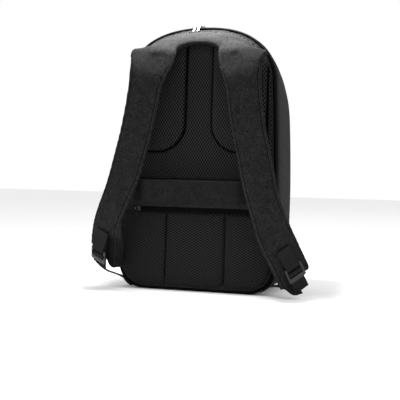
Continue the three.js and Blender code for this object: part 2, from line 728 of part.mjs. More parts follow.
for (const [name, side] of [["left", -1], ["right", 1]]) {
  addPiece(`lumbar_wing_${name}`, lumbarWing(side), "mesh");
}

// Padded yoke along the top of the back, with a round neck opening between the strap roots.
const YOKE_BASE = GAP + FACING_THICKNESS + GAP;
const YOKE_INSET = FACING_INSET + FACING_THICKNESS / 2;

function yokeOuter(share) {
  const reach = ARCH_HEIGHT - YOKE_INSET;
  const lowest = Math.asin(((YOKE_HEIGHT - ARCH_START) / reach) ** (ARCH_ROUNDNESS / 2));
  const turn = lerp(lowest, Math.PI - lowest, share);
  const power = 2 / ARCH_ROUNDNESS;
  const across = Math.sign(Math.cos(turn)) * Math.abs(Math.cos(turn)) ** power;
  return [across * (SHOULDER_HALF_WIDTH - YOKE_INSET), ARCH_START + reach * Math.sin(turn) ** power];
}

function yokeInner(share) {
  const rootShare = 0.3;
  const end = Math.min(share, 1 - share);
  const side = share < 0.5 ? 1 : -1;
  if (end <= rootShare) {
    return [side * lerp(yokeOuter(0)[0], NECK_HALF_WIDTH, end / rootShare), YOKE_HEIGHT];
  }
  const angle = (((end - rootShare) / (0.5 - rootShare)) * Math.PI) / 2;
  return [side * NECK_HALF_WIDTH * Math.cos(angle), YOKE_HEIGHT + (NECK_HEIGHT - YOKE_HEIGHT) * Math.sin(angle)];
}

// Thickness of the yoke at a share of its length: deep at both strap roots, thinner over the neck opening.
function yokeThickness(share) {
  return lerp(YOKE_ROOT_THICKNESS, YOKE_NECK_THICKNESS, smooth(0.18, 0.5, Math.min(share, 1 - share)));
}

function yoke() {
  const stations = 30;
  const profile = [
    { across: 0, rise: 0 },
    { across: 0, rise: 0.22 },
    { across: 0.2, rise: 0.52 },
    { across: 0.5, rise: 0.82 },
    { across: 0.8, rise: 0.98 },
    { across: 0.94, rise: 1 },
    { across: 1, rise: 0.93 },
    { across: 1, rise: 0 },
    { across: 0.75, rise: 0 },
    { across: 0.5, rise: 0 },
    { across: 0.25, rise: 0 },
  ];
  const rings = [];
  const firstShare = 0.004;
  for (let station = 0; station <= stations; station += 1) {
    const share = lerp(firstShare, 1 - firstShare, station / stations);
    const outer = yokeOuter(share);
    const inner = yokeInner(share);
    const thickness = yokeThickness(share);
    const rootness = 1 - smooth(0.02, 0.3, Math.min(share, 1 - share));
    const spread = YOKE_OVERHANG * Math.sign(outer[0]) * rootness;
    rings.push(profile.map(({ across, rise }) => {
      const x = lerp(outer[0], inner[0], across) + spread * rise;
      const z = lerp(outer[1], inner[1], across);
      return point(x, backY(z) - YOKE_BASE - rise * thickness, z);
    }));
  }
  return skin(rings);
}

addPiece("yoke", yoke(), "strap");

// Frames along a shoulder strap: middle point, width direction towards the outer edge, and face normal.
function strapFrames(sideName) {
  const side = sideName === "right" ? 1 : -1;
  const rootOuter = yokeOuter(0)[0] + YOKE_OVERHANG;
  const rootMiddle = (rootOuter + NECK_HALF_WIDTH) / 2;
  const rootHeight = YOKE_HEIGHT - GAP;
  const rootStand = YOKE_BASE + YOKE_ROOT_THICKNESS - STRAP_THICKNESS / 2;
  const root = {
    height: rootHeight / BODY_HEIGHT,
    across: rootMiddle / HALF_WIDTH,
    stand: rootStand / STRAP_STAND,
    turn: 0,
    width: (rootOuter - NECK_HALF_WIDTH) / STRAP_WIDTH,
  };
  const rows = [root, ...STRAP_ROWS, ...STRAP_ENDS[sideName]];
  const places = rows.map(({ height, across, stand }) => {
    const z = height * BODY_HEIGHT;
    return point(side * across * HALF_WIDTH, backY(z) - stand * STRAP_STAND, z);
  });
  const curve = new THREE.CatmullRomCurve3(places, false, "centripetal");
  const shape = new THREE.CatmullRomCurve3(rows.map(({ turn, width }) => point(turn, width, 0)), false, "catmullrom", 0.5);
  const fineSteps = 240;
  const lengths = curve.getLengths(fineSteps);
  const total = lengths[fineSteps];
  const parameterAt = (distance) => {
    const index = Math.max(lengths.findIndex((length) => length >= distance), 1);
    const share = (distance - lengths[index - 1]) / (lengths[index] - lengths[index - 1]);
    return (index - 1 + share) / fineSteps;
  };
  const frameAt = (distanceFromTip) => {
    const parameter = parameterAt(Math.min(Math.max(total - distanceFromTip, 0), total));
    const middle = curve.getPoint(parameter);
    const down = curve.getTangent(parameter);
    const facing = shape.getPoint(parameter);
    const turn = THREE.MathUtils.degToRad(facing.x * STRAP_TURN);
    const wanted = point(side * Math.sin(turn), -Math.cos(turn), 0);
    const across = wanted.clone().cross(down).multiplyScalar(side).normalize();
    const normal = across.clone().cross(down).multiplyScalar(-side).normalize();
    return { middle, down, across, normal, width: facing.y * STRAP_WIDTH, side };
  };
  return { total, frameAt };
}

const STRAPS = { left: strapFrames("left"), right: strapFrames("right") };

function shoulderStrap({ total, frameAt }) {
  const root = frameAt(total);
  const level = { across: point(root.side, 0, 0), normal: point(0, -1, 0) };
  const stations = [{ ...root, ...level, thickness: STRAP_THICKNESS }];
  const bodyLength = total - STRAP_TIP_LENGTH;
  const bodySteps = 22;
  for (let step = 1; step < bodySteps; step += 1) {
    const frame = frameAt(total - (bodyLength * step) / bodySteps);
    stations.push({ ...frame, thickness: STRAP_THICKNESS });
  }
  for (const { from, width, thickness } of STRAP_TIP) {
    const frame = frameAt(from * STRAP_TIP_LENGTH);
    stations.push({ ...frame, width: frame.width * width, thickness: STRAP_THICKNESS * thickness });
  }
  return sweep(stations, PADDED_SECTION);
}

for (const name of ["left", "right"]) {
  addPiece(`shoulder_strap_${name}`, shoulderStrap(STRAPS[name]), "strap");
}

// Distances along the strap, measured up from its tip: the three bars of a ladder lock.
const LOWER_BAR = LOCK_TAB / 2 - LOCK_TAB_OVERHANG;
const MIDDLE_BAR = LOWER_BAR + LOCK_TAB / 2 + LOCK_SLOT_LOWER + LOCK_BAR / 2;
const UPPER_BAR = MIDDLE_BAR + LOCK_BAR + LOCK_SLOT_UPPER;
const LOCK_TOP = UPPER_BAR + LOCK_BAR / 2;
const LOCK_BOTTOM = LOWER_BAR - LOCK_TAB / 2;
const LAYER = WEBBING_THICKNESS + GAP;
const BAR_CLEAR = Math.hypot(LOCK_BAR, LOCK_THICKNESS) / 2 + GAP / 2 + WEBBING_THICKNESS / 2;
const PAD_FACE = (STRAP_THICKNESS / 2) * 1.04 + 2 * GAP;
const LOCK_LEVEL = PAD_FACE + WEBBING_THICKNESS / 2 + LAYER + BAR_CLEAR;

// Place of a point given by its distance above the tip, its sideways offset and its height over the middle line.
function onStrap(frame, distance, sideways, level) {
  return frame.middle.clone()
    .addScaledVector(frame.down, frame.tipDistance - distance)
    .addScaledVector(frame.across, sideways)
    .addScaledVector(frame.normal, level);
}

function endFrame(strap) {
  const tipDistance = (UPPER_BAR + LOWER_BAR) / 2;
  return { ...strap.frameAt(tipDistance), tipDistance };
}

// Webbing patch: folded double round the lock's upper bar and sewn flat on the strap.
function strapPatch(strap) {
  const frame = endFrame(strap);
  const lowLevel = PAD_FACE + WEBBING_THICKNESS / 2;
  const middles = [];
  const acrosses = [];
  const flatTop = UPPER_BAR + PATCH_LENGTH;
  const addFollowing = (distance, level) => {
    const here = strap.frameAt(distance);
    middles.push(here.middle.clone().addScaledVector(here.normal, level));
    acrosses.push(here.across);
  };
  const addRigid = (distance, level) => {
    middles.push(onStrap(frame, distance, 0, level));
    acrosses.push(frame.across);
  };
  const riseStart = UPPER_BAR + LOCK_BAR * 3;
  for (const share of [0, 0.33, 0.67]) {
    addFollowing(lerp(flatTop, riseStart, share), lowLevel);
  }
  addFollowing(riseStart, lowLevel);
  const turnSteps = 6;
  for (let step = 0; step <= turnSteps; step += 1) {
    const angle = (step / turnSteps) * Math.PI;
    addRigid(UPPER_BAR - BAR_CLEAR * Math.sin(angle), LOCK_LEVEL - BAR_CLEAR * Math.cos(angle));
  }
  addRigid(UPPER_BAR + LOCK_BAR * 0.8, LOCK_LEVEL + BAR_CLEAR);
  addFollowing(lerp(UPPER_BAR, flatTop, 0.32), lowLevel + 2.2 * LAYER);
  for (const share of [0.5, 0.66, 0.83, 1]) {
    addFollowing(lerp(UPPER_BAR, flatTop, share), lowLevel + LAYER);
  }
  return sweep(bandStations(middles, acrosses, WEBBING_WIDTH, WEBBING_THICKNESS), FLAT_SECTION);
}

// Ladder lock: a moulded frame with two slots and a wide lower tab.
function lockGeometry() {
  const half = LOCK_WIDTH / 2;
  const corner = LOCK_BAR;
  const outline = new THREE.Shape();
  outline.moveTo(-half + corner, LOCK_BOTTOM);
  outline.lineTo(half - corner, LOCK_BOTTOM);
  outline.absarc(half - corner, LOCK_BOTTOM + corner, corner, -Math.PI / 2, 0, false);
  outline.lineTo(half, LOCK_TOP - corner);
  outline.absarc(half - corner, LOCK_TOP - corner, corner, 0, Math.PI / 2, false);
  outline.lineTo(-half + corner, LOCK_TOP);
  outline.absarc(-half + corner, LOCK_TOP - corner, corner, Math.PI / 2, Math.PI, false);
  outline.lineTo(-half, LOCK_BOTTOM + corner);
  outline.absarc(-half + corner, LOCK_BOTTOM + corner, corner, Math.PI, 1.5 * Math.PI, false);
  const slotHalf = WEBBING_WIDTH / 2 + 2 * GAP;
  const slots = [
    [MIDDLE_BAR + LOCK_BAR / 2, UPPER_BAR - LOCK_BAR / 2],
    [LOWER_BAR + LOCK_TAB / 2, MIDDLE_BAR - LOCK_BAR / 2],
  ];
  for (const [low, high] of slots) {
    const slot = new THREE.Path();
    slot.moveTo(-slotHalf, low);
    slot.lineTo(-slotHalf, high);
    slot.lineTo(slotHalf, high);
    slot.lineTo(slotHalf, low);
    slot.closePath();
    outline.holes.push(slot);
  }
  return new THREE.ExtrudeGeometry(outline, { depth: LOCK_THICKNESS, bevelEnabled: false, curveSegments: 3 });
}

function addLock(name, strap) {
  const frame = endFrame(strap);
  const lock = addPiece(name, lockGeometry(), "plastic");
  const upward = frame.down.clone().negate();
  const sideways = upward.clone().cross(frame.normal).normalize();
  lock.setRotationFromMatrix(new THREE.Matrix4().makeBasis(sideways, upward, frame.normal));
  lock.position.copy(onStrap(frame, 0, 0, LOCK_LEVEL - LOCK_THICKNESS / 2));
}

// Route of the lower webbing in the lock, from its free end: under the tab, up through the lower slot, over the
// middle bar, down through the upper slot and back under the whole lock. Rows are distances above the tip and levels.
function lockRoute(tailLength) {
  const tabUpper = LOWER_BAR + LOCK_TAB / 2;
  const tailLevel = LOCK_LEVEL - LOCK_THICKNESS / 2 - GAP - WEBBING_THICKNESS / 2 - GAP / 2;
  const route = [
    [LOCK_BOTTOM - tailLength, tailLevel],
    [LOCK_BOTTOM - tailLength / 2, tailLevel],
    [LOCK_BOTTOM, tailLevel],
    [tabUpper, tailLevel],
    [lerp(tabUpper, MIDDLE_BAR - BAR_CLEAR, 0.5), lerp(tailLevel, LOCK_LEVEL, 0.14)],
    [lerp(tabUpper, MIDDLE_BAR - BAR_CLEAR, 0.85), lerp(tailLevel, LOCK_LEVEL, 0.5)],
  ];
  const steps = 9;
  for (let step = 0; step <= steps; step += 1) {
    const angle = Math.PI - (step / steps) * 1.5 * Math.PI;
    const radius = BAR_CLEAR + LAYER * Math.max(-Math.sin(angle), 0);
    route.push([MIDDLE_BAR + radius * Math.cos(angle), LOCK_LEVEL + radius * Math.sin(angle)]);
  }
  route.push([LOWER_BAR, LOCK_LEVEL - BAR_CLEAR - LAYER]);
  return route;
}

// Seam of the lower webbing in the rounded bottom corner of the bag.
function cornerSeam(side) {
  const radius = BOTTOM_CORNER + 2 * GAP + WEBBING_THICKNESS / 2;
  const centreX = HALF_WIDTH - BOTTOM_CORNER;
  return [0.5, 0, -0.5].map((share) => {
    const angle = THREE.MathUtils.degToRad(CORNER_SEAM_ANGLE + share * CORNER_SEAM_SPREAD);
    const z = BOTTOM_CORNER - radius * Math.cos(angle);
    return {
      middle: point(side * (centreX + radius * Math.sin(angle)), backY(0) + WEBBING_WIDTH / 2, z),
      tangent: point(-side * Math.cos(angle), 0, -Math.sin(angle)),
    };
  });
}

// Tape laid round a thin rod that lies across it at an angle: the fold that turns it sideways.
function foldStations(start, forward, across, normal, wanted, radius) {
  const inPlane = wanted.clone().addScaledVector(normal, -wanted.dot(normal)).normalize();
  const foldLine = forward.clone().add(inPlane).normalize();
  const travel = forward.clone().addScaledVector(foldLine, -forward.dot(foldLine)).normalize();
  const alongLine = forward.dot(foldLine);
  const acrossLine = forward.dot(travel);
  const steps = 8;
  const middles = [];
  const acrosses = [];
  for (let step = 0; step <= steps; step += 1) {
    const angle = (step / steps) * Math.PI;
    const away = normal.clone().negate();
    const turned = travel.clone().multiplyScalar(Math.cos(angle)).addScaledVector(away, Math.sin(angle));
    middles.push(start.clone()
      .addScaledVector(foldLine, (alongLine / acrossLine) * radius * angle)
      .addScaledVector(travel, radius * Math.sin(angle))
      .addScaledVector(away, radius * (1 - Math.cos(angle))));
    const side = foldLine.clone().multiplyScalar(across.dot(foldLine));
    acrosses.push(side.addScaledVector(turned, across.dot(travel)));
  }
  return { middles, acrosses };
}

function lowerWebbing(name) {
  const frame = endFrame(STRAPS[name]);
  const seam = cornerSeam(frame.side);
  const middles = [];
  const acrosses = [];
  for (const [distance, level] of lockRoute(TAIL_LENGTH[name])) {
    middles.push(onStrap(frame, distance, 0, level));
    acrosses.push(frame.across.clone());
  }
  const level = LOCK_LEVEL - BAR_CLEAR - LAYER;
  const leave = onStrap(frame, LOCK_BOTTOM - (name === "right" ? FOLD_DISTANCE : 2), 0, level);
  if (name === "right") {
    const towards = seam[0].middle.clone().sub(leave);
    const fold = foldStations(leave, frame.down, frame.across, frame.normal, towards, FOLD_RADIUS);
    middles.push(...fold.middles);
    acrosses.push(...fold.acrosses);
  } else {
    middles.push(leave);
    acrosses.push(frame.across.clone());
  }
  const start = middles[middles.length - 1];
  const before = middles[middles.length - 2];
  const leaving = start.clone().sub(before).normalize();
  const landing = seam[0].middle;
  const span = start.distanceTo(landing);
  const curve = new THREE.CubicBezierCurve3(
    start,
    start.clone().addScaledVector(leaving, span * 0.38),
    landing.clone().addScaledVector(seam[0].tangent, -span * 0.34),
    landing,
  );
  const firstAcross = acrosses[acrosses.length - 1];
  const lastAcross = point(0, firstAcross.y < 0 ? -1 : 1, 0);
  const twist = THREE.MathUtils.degToRad(FREE_WEBBING_TWIST[name]);
  const tilt = THREE.MathUtils.degToRad(FREE_WEBBING_TILT[name]);
  const freeAcross = lastAcross.clone()
    .applyAxisAngle(point(1, 0, 0), -tilt)
    .applyAxisAngle(point(0, 0, 1), twist);
  const steps = 10;
  for (let step = 1; step <= steps; step += 1) {
    const share = step / steps;
    const across = firstAcross.clone().lerp(freeAcross, smooth(0, name === "left" ? 0.4 : 0.75, share));
    middles.push(curve.getPoint(share));
    acrosses.push(across.lerp(lastAcross, smooth(0.7, 1, share)).normalize());
  }
  for (const { middle } of seam.slice(1)) {
    middles.push(middle);
    acrosses.push(lastAcross);
  }
  return sweep(bandStations(middles, acrosses, WEBBING_WIDTH, WEBBING_THICKNESS), FLAT_SECTION);
}

for (const name of ["left", "right"]) {
  addPiece(`strap_patch_${name}`, strapPatch(STRAPS[name]), "webbing");
  addLock(`ladder_lock_${name}`, STRAPS[name]);
  addPiece(`lower_webbing_${name}`, lowerWebbing(name), "webbing");
}

// Trolley strap: sewn flat near both sides and standing off the back between them.
function trolleyStrap() {
  const sewn = backY(TROLLEY_STRAP_MIDDLE) - GAP - FACING_THICKNESS - GAP - TROLLEY_STRAP_THICKNESS / 2;
  const front = backY(TROLLEY_STRAP_MIDDLE) - TROLLEY_STRAP_STAND - FACING_THICKNESS;
  const turn = TROLLEY_FRONT_HALF_WIDTH;
  const half = [
    [TROLLEY_SEAM_ACROSS + TROLLEY_SEAM_LENGTH, sewn],
    [TROLLEY_SEAM_ACROSS + TROLLEY_SEAM_LENGTH / 2, sewn],
    [TROLLEY_SEAM_ACROSS, sewn - 0.6],
    [lerp(TROLLEY_SEAM_ACROSS, turn, 0.3), lerp(sewn, front, 0.3)],
    [lerp(TROLLEY_SEAM_ACROSS, turn, 0.75), lerp(sewn, front, 0.78)],
    [turn, lerp(sewn, front, 0.955)],
    [turn - 5, lerp(sewn, front, 0.995)],
    [turn * 0.6, front],
    [turn * 0.2, front],
  ];
  const route = [...half.map(([x, y]) => [-x, y]), ...half.slice().reverse()];
  const middles = route.map(([x, y]) => point(x, y, TROLLEY_STRAP_MIDDLE));
  const acrosses = middles.map(() => point(0, BACK_LEAN, 1).normalize());
  return sweep(bandStations(middles, acrosses, TROLLEY_STRAP_HEIGHT, TROLLEY_STRAP_THICKNESS), CLOTH_SECTION);
}

addPiece("trolley_strap", trolleyStrap(), "strap");

export default rucksack;
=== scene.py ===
import math

import bpy
import numpy as np
from mathutils import Matrix, Vector


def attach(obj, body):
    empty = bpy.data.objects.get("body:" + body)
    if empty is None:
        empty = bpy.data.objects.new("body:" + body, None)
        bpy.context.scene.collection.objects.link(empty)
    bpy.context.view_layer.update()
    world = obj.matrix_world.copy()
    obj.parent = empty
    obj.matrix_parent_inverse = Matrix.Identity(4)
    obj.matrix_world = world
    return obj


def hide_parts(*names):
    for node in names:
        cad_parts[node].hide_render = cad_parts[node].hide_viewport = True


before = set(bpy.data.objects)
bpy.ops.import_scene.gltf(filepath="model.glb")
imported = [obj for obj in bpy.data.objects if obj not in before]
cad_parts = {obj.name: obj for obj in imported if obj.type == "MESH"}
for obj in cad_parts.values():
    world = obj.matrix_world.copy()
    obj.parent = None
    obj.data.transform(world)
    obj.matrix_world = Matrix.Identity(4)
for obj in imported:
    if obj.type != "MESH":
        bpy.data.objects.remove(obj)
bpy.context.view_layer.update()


# Camera and light of the photograph.
# The lens stands 1.5 m from the middle of the bag, on the side of the straps, 17 degrees round towards +x,
# a little below half height and with a small roll. Its place was found from the outline in the photo.
azimuth, pitch, roll = math.radians(16.7), math.radians(1.47), math.radians(1.4)
EYE_SIDEWAYS, EYE_DISTANCE, EYE_HEIGHT = -0.0153, 1.5, 0.189
FOCAL_PIXELS, PICTURE_PIXELS, SENSOR_WIDTH = 857, 400, 36
side_way = Vector((math.cos(azimuth), math.sin(azimuth), 0))
level_way = Vector((-math.sin(azimuth), math.cos(azimuth), 0))
view_way = level_way * math.cos(pitch) - Vector((0, 0, 1)) * math.sin(pitch)
up_way = side_way.cross(view_way)
rolled_side = side_way * math.cos(roll) + up_way * math.sin(roll)
rolled_up = up_way * math.cos(roll) - side_way * math.sin(roll)
eye = side_way * EYE_SIDEWAYS - level_way * EYE_DISTANCE + Vector((0, 0, EYE_HEIGHT))
camera_data = bpy.data.cameras.new("camera")
camera_data.lens = FOCAL_PIXELS / PICTURE_PIXELS * SENSOR_WIDTH
camera_data.sensor_width = SENSOR_WIDTH
camera = bpy.data.objects.new("camera", camera_data)
basis = Matrix((rolled_side, rolled_up, -view_way)).transposed().to_4x4()
camera.matrix_world = Matrix.Translation(eye) @ basis
bpy.context.collection.objects.link(camera)
bpy.context.scene.camera = camera

world = bpy.data.worlds.new("studio")
world.use_nodes = True
background = world.node_tree.nodes["Background"]
background.inputs["Color"].default_value = (1, 1, 1, 1)
background.inputs["Strength"].default_value = 1.0
bpy.context.scene.world = world
bpy.context.scene.view_settings.view_transform = "Standard"


def area_light(name, place, aim, size, power):
    """A square soft lamp at a place, turned towards a point; lengths in metres and power in watts."""
    data = bpy.data.lights.new(name, "AREA")
    data.size = size
    data.energy = power
    lamp = bpy.data.objects.new(name, data)
    lamp.location = place
    lamp.rotation_euler = (Vector(aim) - Vector(place)).to_track_quat("-Z", "Y").to_euler()
    bpy.context.collection.objects.link(lamp)


area_light("left_box", (-1.4, -0.9, 1.0), (0, 0, 0.2), 0.8, 9)
area_light("right_box", (1.5, 0.5, 0.8), (0, 0, 0.25), 0.7, 6)
area_light("floor_box", (0.5, 2.2, 2.4), (0.3, 1.6, 0), 1.5, 9)
# A narrow lamp just above the yoke, facing down, gives its bright top edge without overexposing the floor.
top_data = bpy.data.lights.new("top_lamp", "AREA")
top_data.shape, top_data.size, top_data.size_y = "RECTANGLE", 0.17, 0.05
top_data.energy = 10.0
top_lamp = bpy.data.objects.new("top_lamp", top_data)
top_lamp.location = (-0.02, -0.065, 0.61)
bpy.context.collection.objects.link(top_lamp)


# Front shell: charcoal polyester over thin foam, sewn as a tub and closed towards the back by the zip band.
# It makes the front, the sides, the rounded top and the flat base.
CLOTH_GLOSS = 0.02


class Wire:
    """A shader socket that takes part in sums, differences and products through Math nodes."""

    def __init__(self, look, socket):
        self.look = look
        self.socket = socket

    def maths(self, operation, *others):
        return self.look.node("ShaderNodeMath", {"operation": operation}, [self, *others])

    def __add__(self, other):
        return self.maths("ADD", other)

    def __radd__(self, other):
        return self.maths("ADD", other)

    def __sub__(self, other):
        return self.maths("SUBTRACT", other)

    def __rsub__(self, other):
        return self.look.node("ShaderNodeMath", {"operation": "SUBTRACT"}, [other, self])

    def __mul__(self, other):
        return self.maths("MULTIPLY", other)

    def __rmul__(self, other):
        return self.maths("MULTIPLY", other)

    def cosine(self):
        return self.maths("COSINE")

    def size(self):
        return self.maths("ABSOLUTE")

    def clamp(self):
        return self.look.node("ShaderNodeClamp", {}, [self])


class Look:
    """A material under construction: a Principled shader and a way to add nodes to it."""

    def __init__(self, name, roughness, metallic=0.0):
        self.material = bpy.data.materials.new(name)
        self.material.use_nodes = True
        self.tree = self.material.node_tree
        self.shader = self.tree.nodes["Principled BSDF"]
        self.shader.inputs["Roughness"].default_value = roughness
        self.shader.inputs["Metallic"].default_value = metallic

    def node(self, kind, settings, values, output=0):
        made = self.tree.nodes.new(kind)
        for key, value in settings.items():
            setattr(made, key, value)
        pairs = values.items() if isinstance(values, dict) else enumerate(values)
        for key, value in pairs:
            if isinstance(value, Wire):
                self.tree.links.new(value.socket, made.inputs[key])
            else:
                made.inputs[key].default_value = value
        return Wire(self, made.outputs[output])

    def millimetres(self):
        """The place of a point on the piece, in millimetres."""
        metres = self.node("ShaderNodeTexCoord", {}, {}, "Object")
        values = {"Vector": metres, "Scale": 1000.0}
        return self.node("ShaderNodeVectorMath", {"operation": "SCALE"}, values)

    def split(self, vector):
        """The three coordinates of a vector."""
        parts = self.node("ShaderNodeSeparateXYZ", {}, [vector]).socket.node
        return [Wire(self, socket) for socket in parts.outputs]

    def attribute(self, name):
        """A number stored at each vertex of the piece."""
        return self.node("ShaderNodeAttribute", {"attribute_name": name}, {}, "Fac")

    def noise(self, millimetres, grain, detail=2.0):
        """Noise between 0 and 1 whose lumps are about grain millimetres wide."""
        values = {"Vector": millimetres, "Scale": 1.0 / grain, "Detail": detail}
        return self.node("ShaderNodeTexNoise", {}, values, "Fac")

    def colour(self, share, dark, light):
        """Base colour that goes from dark to light as share goes from 0 to 1. The Mix node has several
        sockets of one name, so those for colours are picked by number."""
        factor, first, second, mixed = 0, 6, 7, 2
        values = {factor: share.clamp(), first: (*dark, 1), second: (*light, 1)}
        colour = self.node("ShaderNodeMix", {"data_type": "RGBA"}, values, mixed)
        self.tree.links.new(colour.socket, self.shader.inputs["Base Color"])

    def bump(self, height, depth, strength):
        """Surface relief of depth millimetres where height goes from 0 to 1."""
        values = {"Strength": strength, "Distance": depth / 1000.0, "Height": height}
        relief = self.node("ShaderNodeBump", {}, values)
        self.tree.links.new(relief.socket, self.shader.inputs["Normal"])


def cloth_look(name, dark, light, seam=None):
    """Melange polyester: fine two-tone noise along the threads, and a shallow weave relief. seam is the
    distance in millimetres from the edge at which a sewn line runs, read from the edge attribute; painted
    shade darkens its groove and a painted highlight lightens the ridge beside it. A second attribute adds
    painted shade inside a fold."""
    look = Look(name, 0.8)
    millimetres = look.millimetres()
    values = {"Vector": millimetres, "Scale": (1.0, 1.0, 0.45)}
    stretched = look.node("ShaderNodeMapping", {}, values)
    threads = look.noise(stretched, 1.1, 3.0)
    patches = look.noise(millimetres, 9.0)
    share = (threads - 0.5) * 2.6 + (patches - 0.5) * 0.7 + 0.5
    height = threads
    if seam:
        edge = look.attribute("edge")
        # Painted shade inside a fold, read from its own attribute, darkens the colour there.
        fold_shade = look.attribute("fold_shade")
        # Painted shade darkens the sewn groove, which the bump also sinks, and a painted highlight lightens
        # the ridge beside it.
        groove = (1.0 - (edge - seam).size() * 1.1).clamp()
        ridge_highlight = (1.0 - (edge - (seam - 1.7)).size()).clamp()
        share = share - groove * 1.3 + ridge_highlight * 0.5 - fold_shade * 1.1
        height = threads * 0.5 - groove * 1.5
    look.colour(share, dark, light)
    look.bump(height, 0.35, 0.6)
    look.shader.inputs["Specular IOR Level"].default_value = CLOTH_GLOSS
    return look.material


shell_cloth = cloth_look("shell_cloth", (0.0125, 0.0125, 0.013), (0.036, 0.036, 0.0368))


def grid_piece(name, points, material, wrap=False, ends=False):
    """A mesh through a grid of points in millimetres, rows by columns. wrap joins the last column to the
    first, and ends closes the first and last row with a fan. The faces are turned outwards: the signed
    volume, summed over tetrahedra from the middle, has to be positive."""
    rows, columns = points.shape[:2]
    vertices = points.reshape(-1, 3) / 1000.0
    last = columns if wrap else columns - 1
    row, column = np.meshgrid(np.arange(rows - 1), np.arange(last), indexing="ij")
    row, column = row.ravel(), column.ravel()
    after = (column + 1) % columns
    faces = np.stack([row * columns + column, row * columns + after,
                      (row + 1) * columns + after, (row + 1) * columns + column], axis=1).tolist()
    if ends:
        for ring, turned in ((0, True), (rows - 1, False)):
            centre = len(vertices)
            vertices = np.vstack([vertices, points[ring].mean(axis=0) / 1000.0])
            for corner in range(columns):
                here, follow = ring * columns + corner, ring * columns + (corner + 1) % columns
                faces.append([centre, follow, here] if turned else [centre, here, follow])
    middle = vertices.mean(axis=0)
    volume = 0.0
    for face in faces[:: max(1, len(faces) // 4000)]:
        a, b, c = (vertices[index] - middle for index in face[:3])
        volume += float(np.dot(a, np.cross(b, c)))
    if volume < 0:
        faces = [face[::-1] for face in faces]
    mesh = bpy.data.meshes.new(name)
    mesh.from_pydata(vertices.tolist(), [], faces)
    mesh.polygons.foreach_set("use_smooth", np.ones(len(faces), dtype=bool))
    mesh.materials.append(material)
    mesh.update()
    piece = bpy.data.objects.new(name, mesh)
    bpy.context.collection.objects.link(piece)
    return piece


def smooth_step(value, low, high):
    """0 below low, 1 above high, and an even S-shaped climb between them."""
    share = np.clip((value - low) / (high - low), 0, 1)
    return share * share * (3 - 2 * share)


def ripple(points, reach, depth, seed):
    """Small uneven waves, like cloth over foam: a sum of six slanted sine waves about reach millimetres
    long, with depth their usual height in millimetres."""
    random = np.random.default_rng(seed)
    total = np.zeros(points.shape[:-1])
    for _ in range(6):
        way = random.normal(size=3)
        way /= np.linalg.norm(way)
        length = reach * random.uniform(0.6, 1.6)
        total += np.sin(points @ way * (2 * math.pi / length) + random.uniform(0, 6.28))
    return total * depth / 3


# The outline of the back seen square on, in millimetres.
BODY_HEIGHT, HALF_WIDTH, SHOULDER_HALF_WIDTH = 443.0, 136.5, 128.0
ARCH_HEIGHT, ARCH_ROUNDNESS, BOTTOM_CORNER, BODY_DEPTH = 100.0, 2.3, 46.0, 153.0
ARCH_START = BODY_HEIGHT - ARCH_HEIGHT
BEND_HEIGHT, BEND_DEPTH = 53.0, 14.0


def back_y(z):
    """Depth of the back plane at a height: it leans by 26 in 1000, and bends back by 14 mm over the top
    53 mm along an arc of a circle."""
    radius = (BEND_HEIGHT ** 2 + BEND_DEPTH ** 2) / (2 * BEND_DEPTH)
    climb = np.clip(z - (BODY_HEIGHT - BEND_HEIGHT), 0, BEND_HEIGHT)
    return -BODY_DEPTH / 2 + 0.026 * z + radius - np.sqrt(radius ** 2 - climb ** 2)


def side_half_width(z):
    """Half width of the straight sides, narrowing with the square of the height to the shoulders."""
    share = (z - BOTTOM_CORNER) / (ARCH_START - BOTTOM_CORNER)
    return HALF_WIDTH + (SHOULDER_HALF_WIDTH - HALF_WIDTH) * share * np.abs(share)


def body_outline(count):
    """Evenly spaced points round the back with outward directions: flat base, round lower corners, nearly
    straight sides and a superellipse arch. Returns x, z, outward x and outward z."""
    flat = np.linspace(0, HALF_WIDTH - BOTTOM_CORNER, 60, endpoint=False)
    base = np.stack([flat, np.zeros(60)], axis=1)
    turn = np.linspace(0, math.pi / 2, 60, endpoint=False)
    corner = np.stack([HALF_WIDTH - BOTTOM_CORNER + BOTTOM_CORNER * np.sin(turn),
                       BOTTOM_CORNER * (1 - np.cos(turn))], axis=1)
    heights = np.linspace(BOTTOM_CORNER, ARCH_START, 200, endpoint=False)
    sides = np.stack([side_half_width(heights), heights], axis=1)
    turn = np.linspace(0, math.pi / 2, 300)
    power = 2 / ARCH_ROUNDNESS
    arch = np.stack([SHOULDER_HALF_WIDTH * np.maximum(np.cos(turn), 0) ** power,
                     ARCH_START + ARCH_HEIGHT * np.sin(turn) ** power], axis=1)
    half = np.vstack([base, corner, sides, arch])
    whole = np.vstack([half, half[-2:0:-1] * [-1, 1], half[:1]])
    lengths = np.concatenate([[0], np.cumsum(np.linalg.norm(np.diff(whole, axis=0), axis=1))])
    spots = np.linspace(0, lengths[-1], count, endpoint=False)
    x = np.interp(spots, lengths, whole[:, 0])
    z = np.interp(spots, lengths, whole[:, 1])
    along_x = np.roll(x, -1) - np.roll(x, 1)
    along_z = np.roll(z, -1) - np.roll(z, 1)
    length = np.hypot(along_x, along_z)
    return x, z, along_z / length, -along_x / length


PIPING_THICKNESS, BAND_WIDTH, SEAM_GAP = 4.4, 16.0, 0.3
SHELL_START = PIPING_THICKNESS + SEAM_GAP + BAND_WIDTH + SEAM_GAP
SHELL_MIDDLE, FRONT_BEND = 200.0, 270.0
SIDE_ROUNDING, LOW_ROUNDING, TOP_ROUNDING, SIDE_BULGE = 45.0, 18.0, 42.0, 3.5


def front_y(x, z):
    """Depth of the front face: it falls back towards the top with a power of the climb above the bend, and
    with squares of the distance towards the sides and the base."""
    climb = np.maximum(z - FRONT_BEND, 0) / (BODY_HEIGHT - FRONT_BEND)
    low = np.maximum(FRONT_BEND - z, 0) / FRONT_BEND
    return BODY_DEPTH / 2 - 82.0 * climb ** 2.2 - 6.0 * (x / HALF_WIDTH) ** 2 - 5.0 * low ** 2


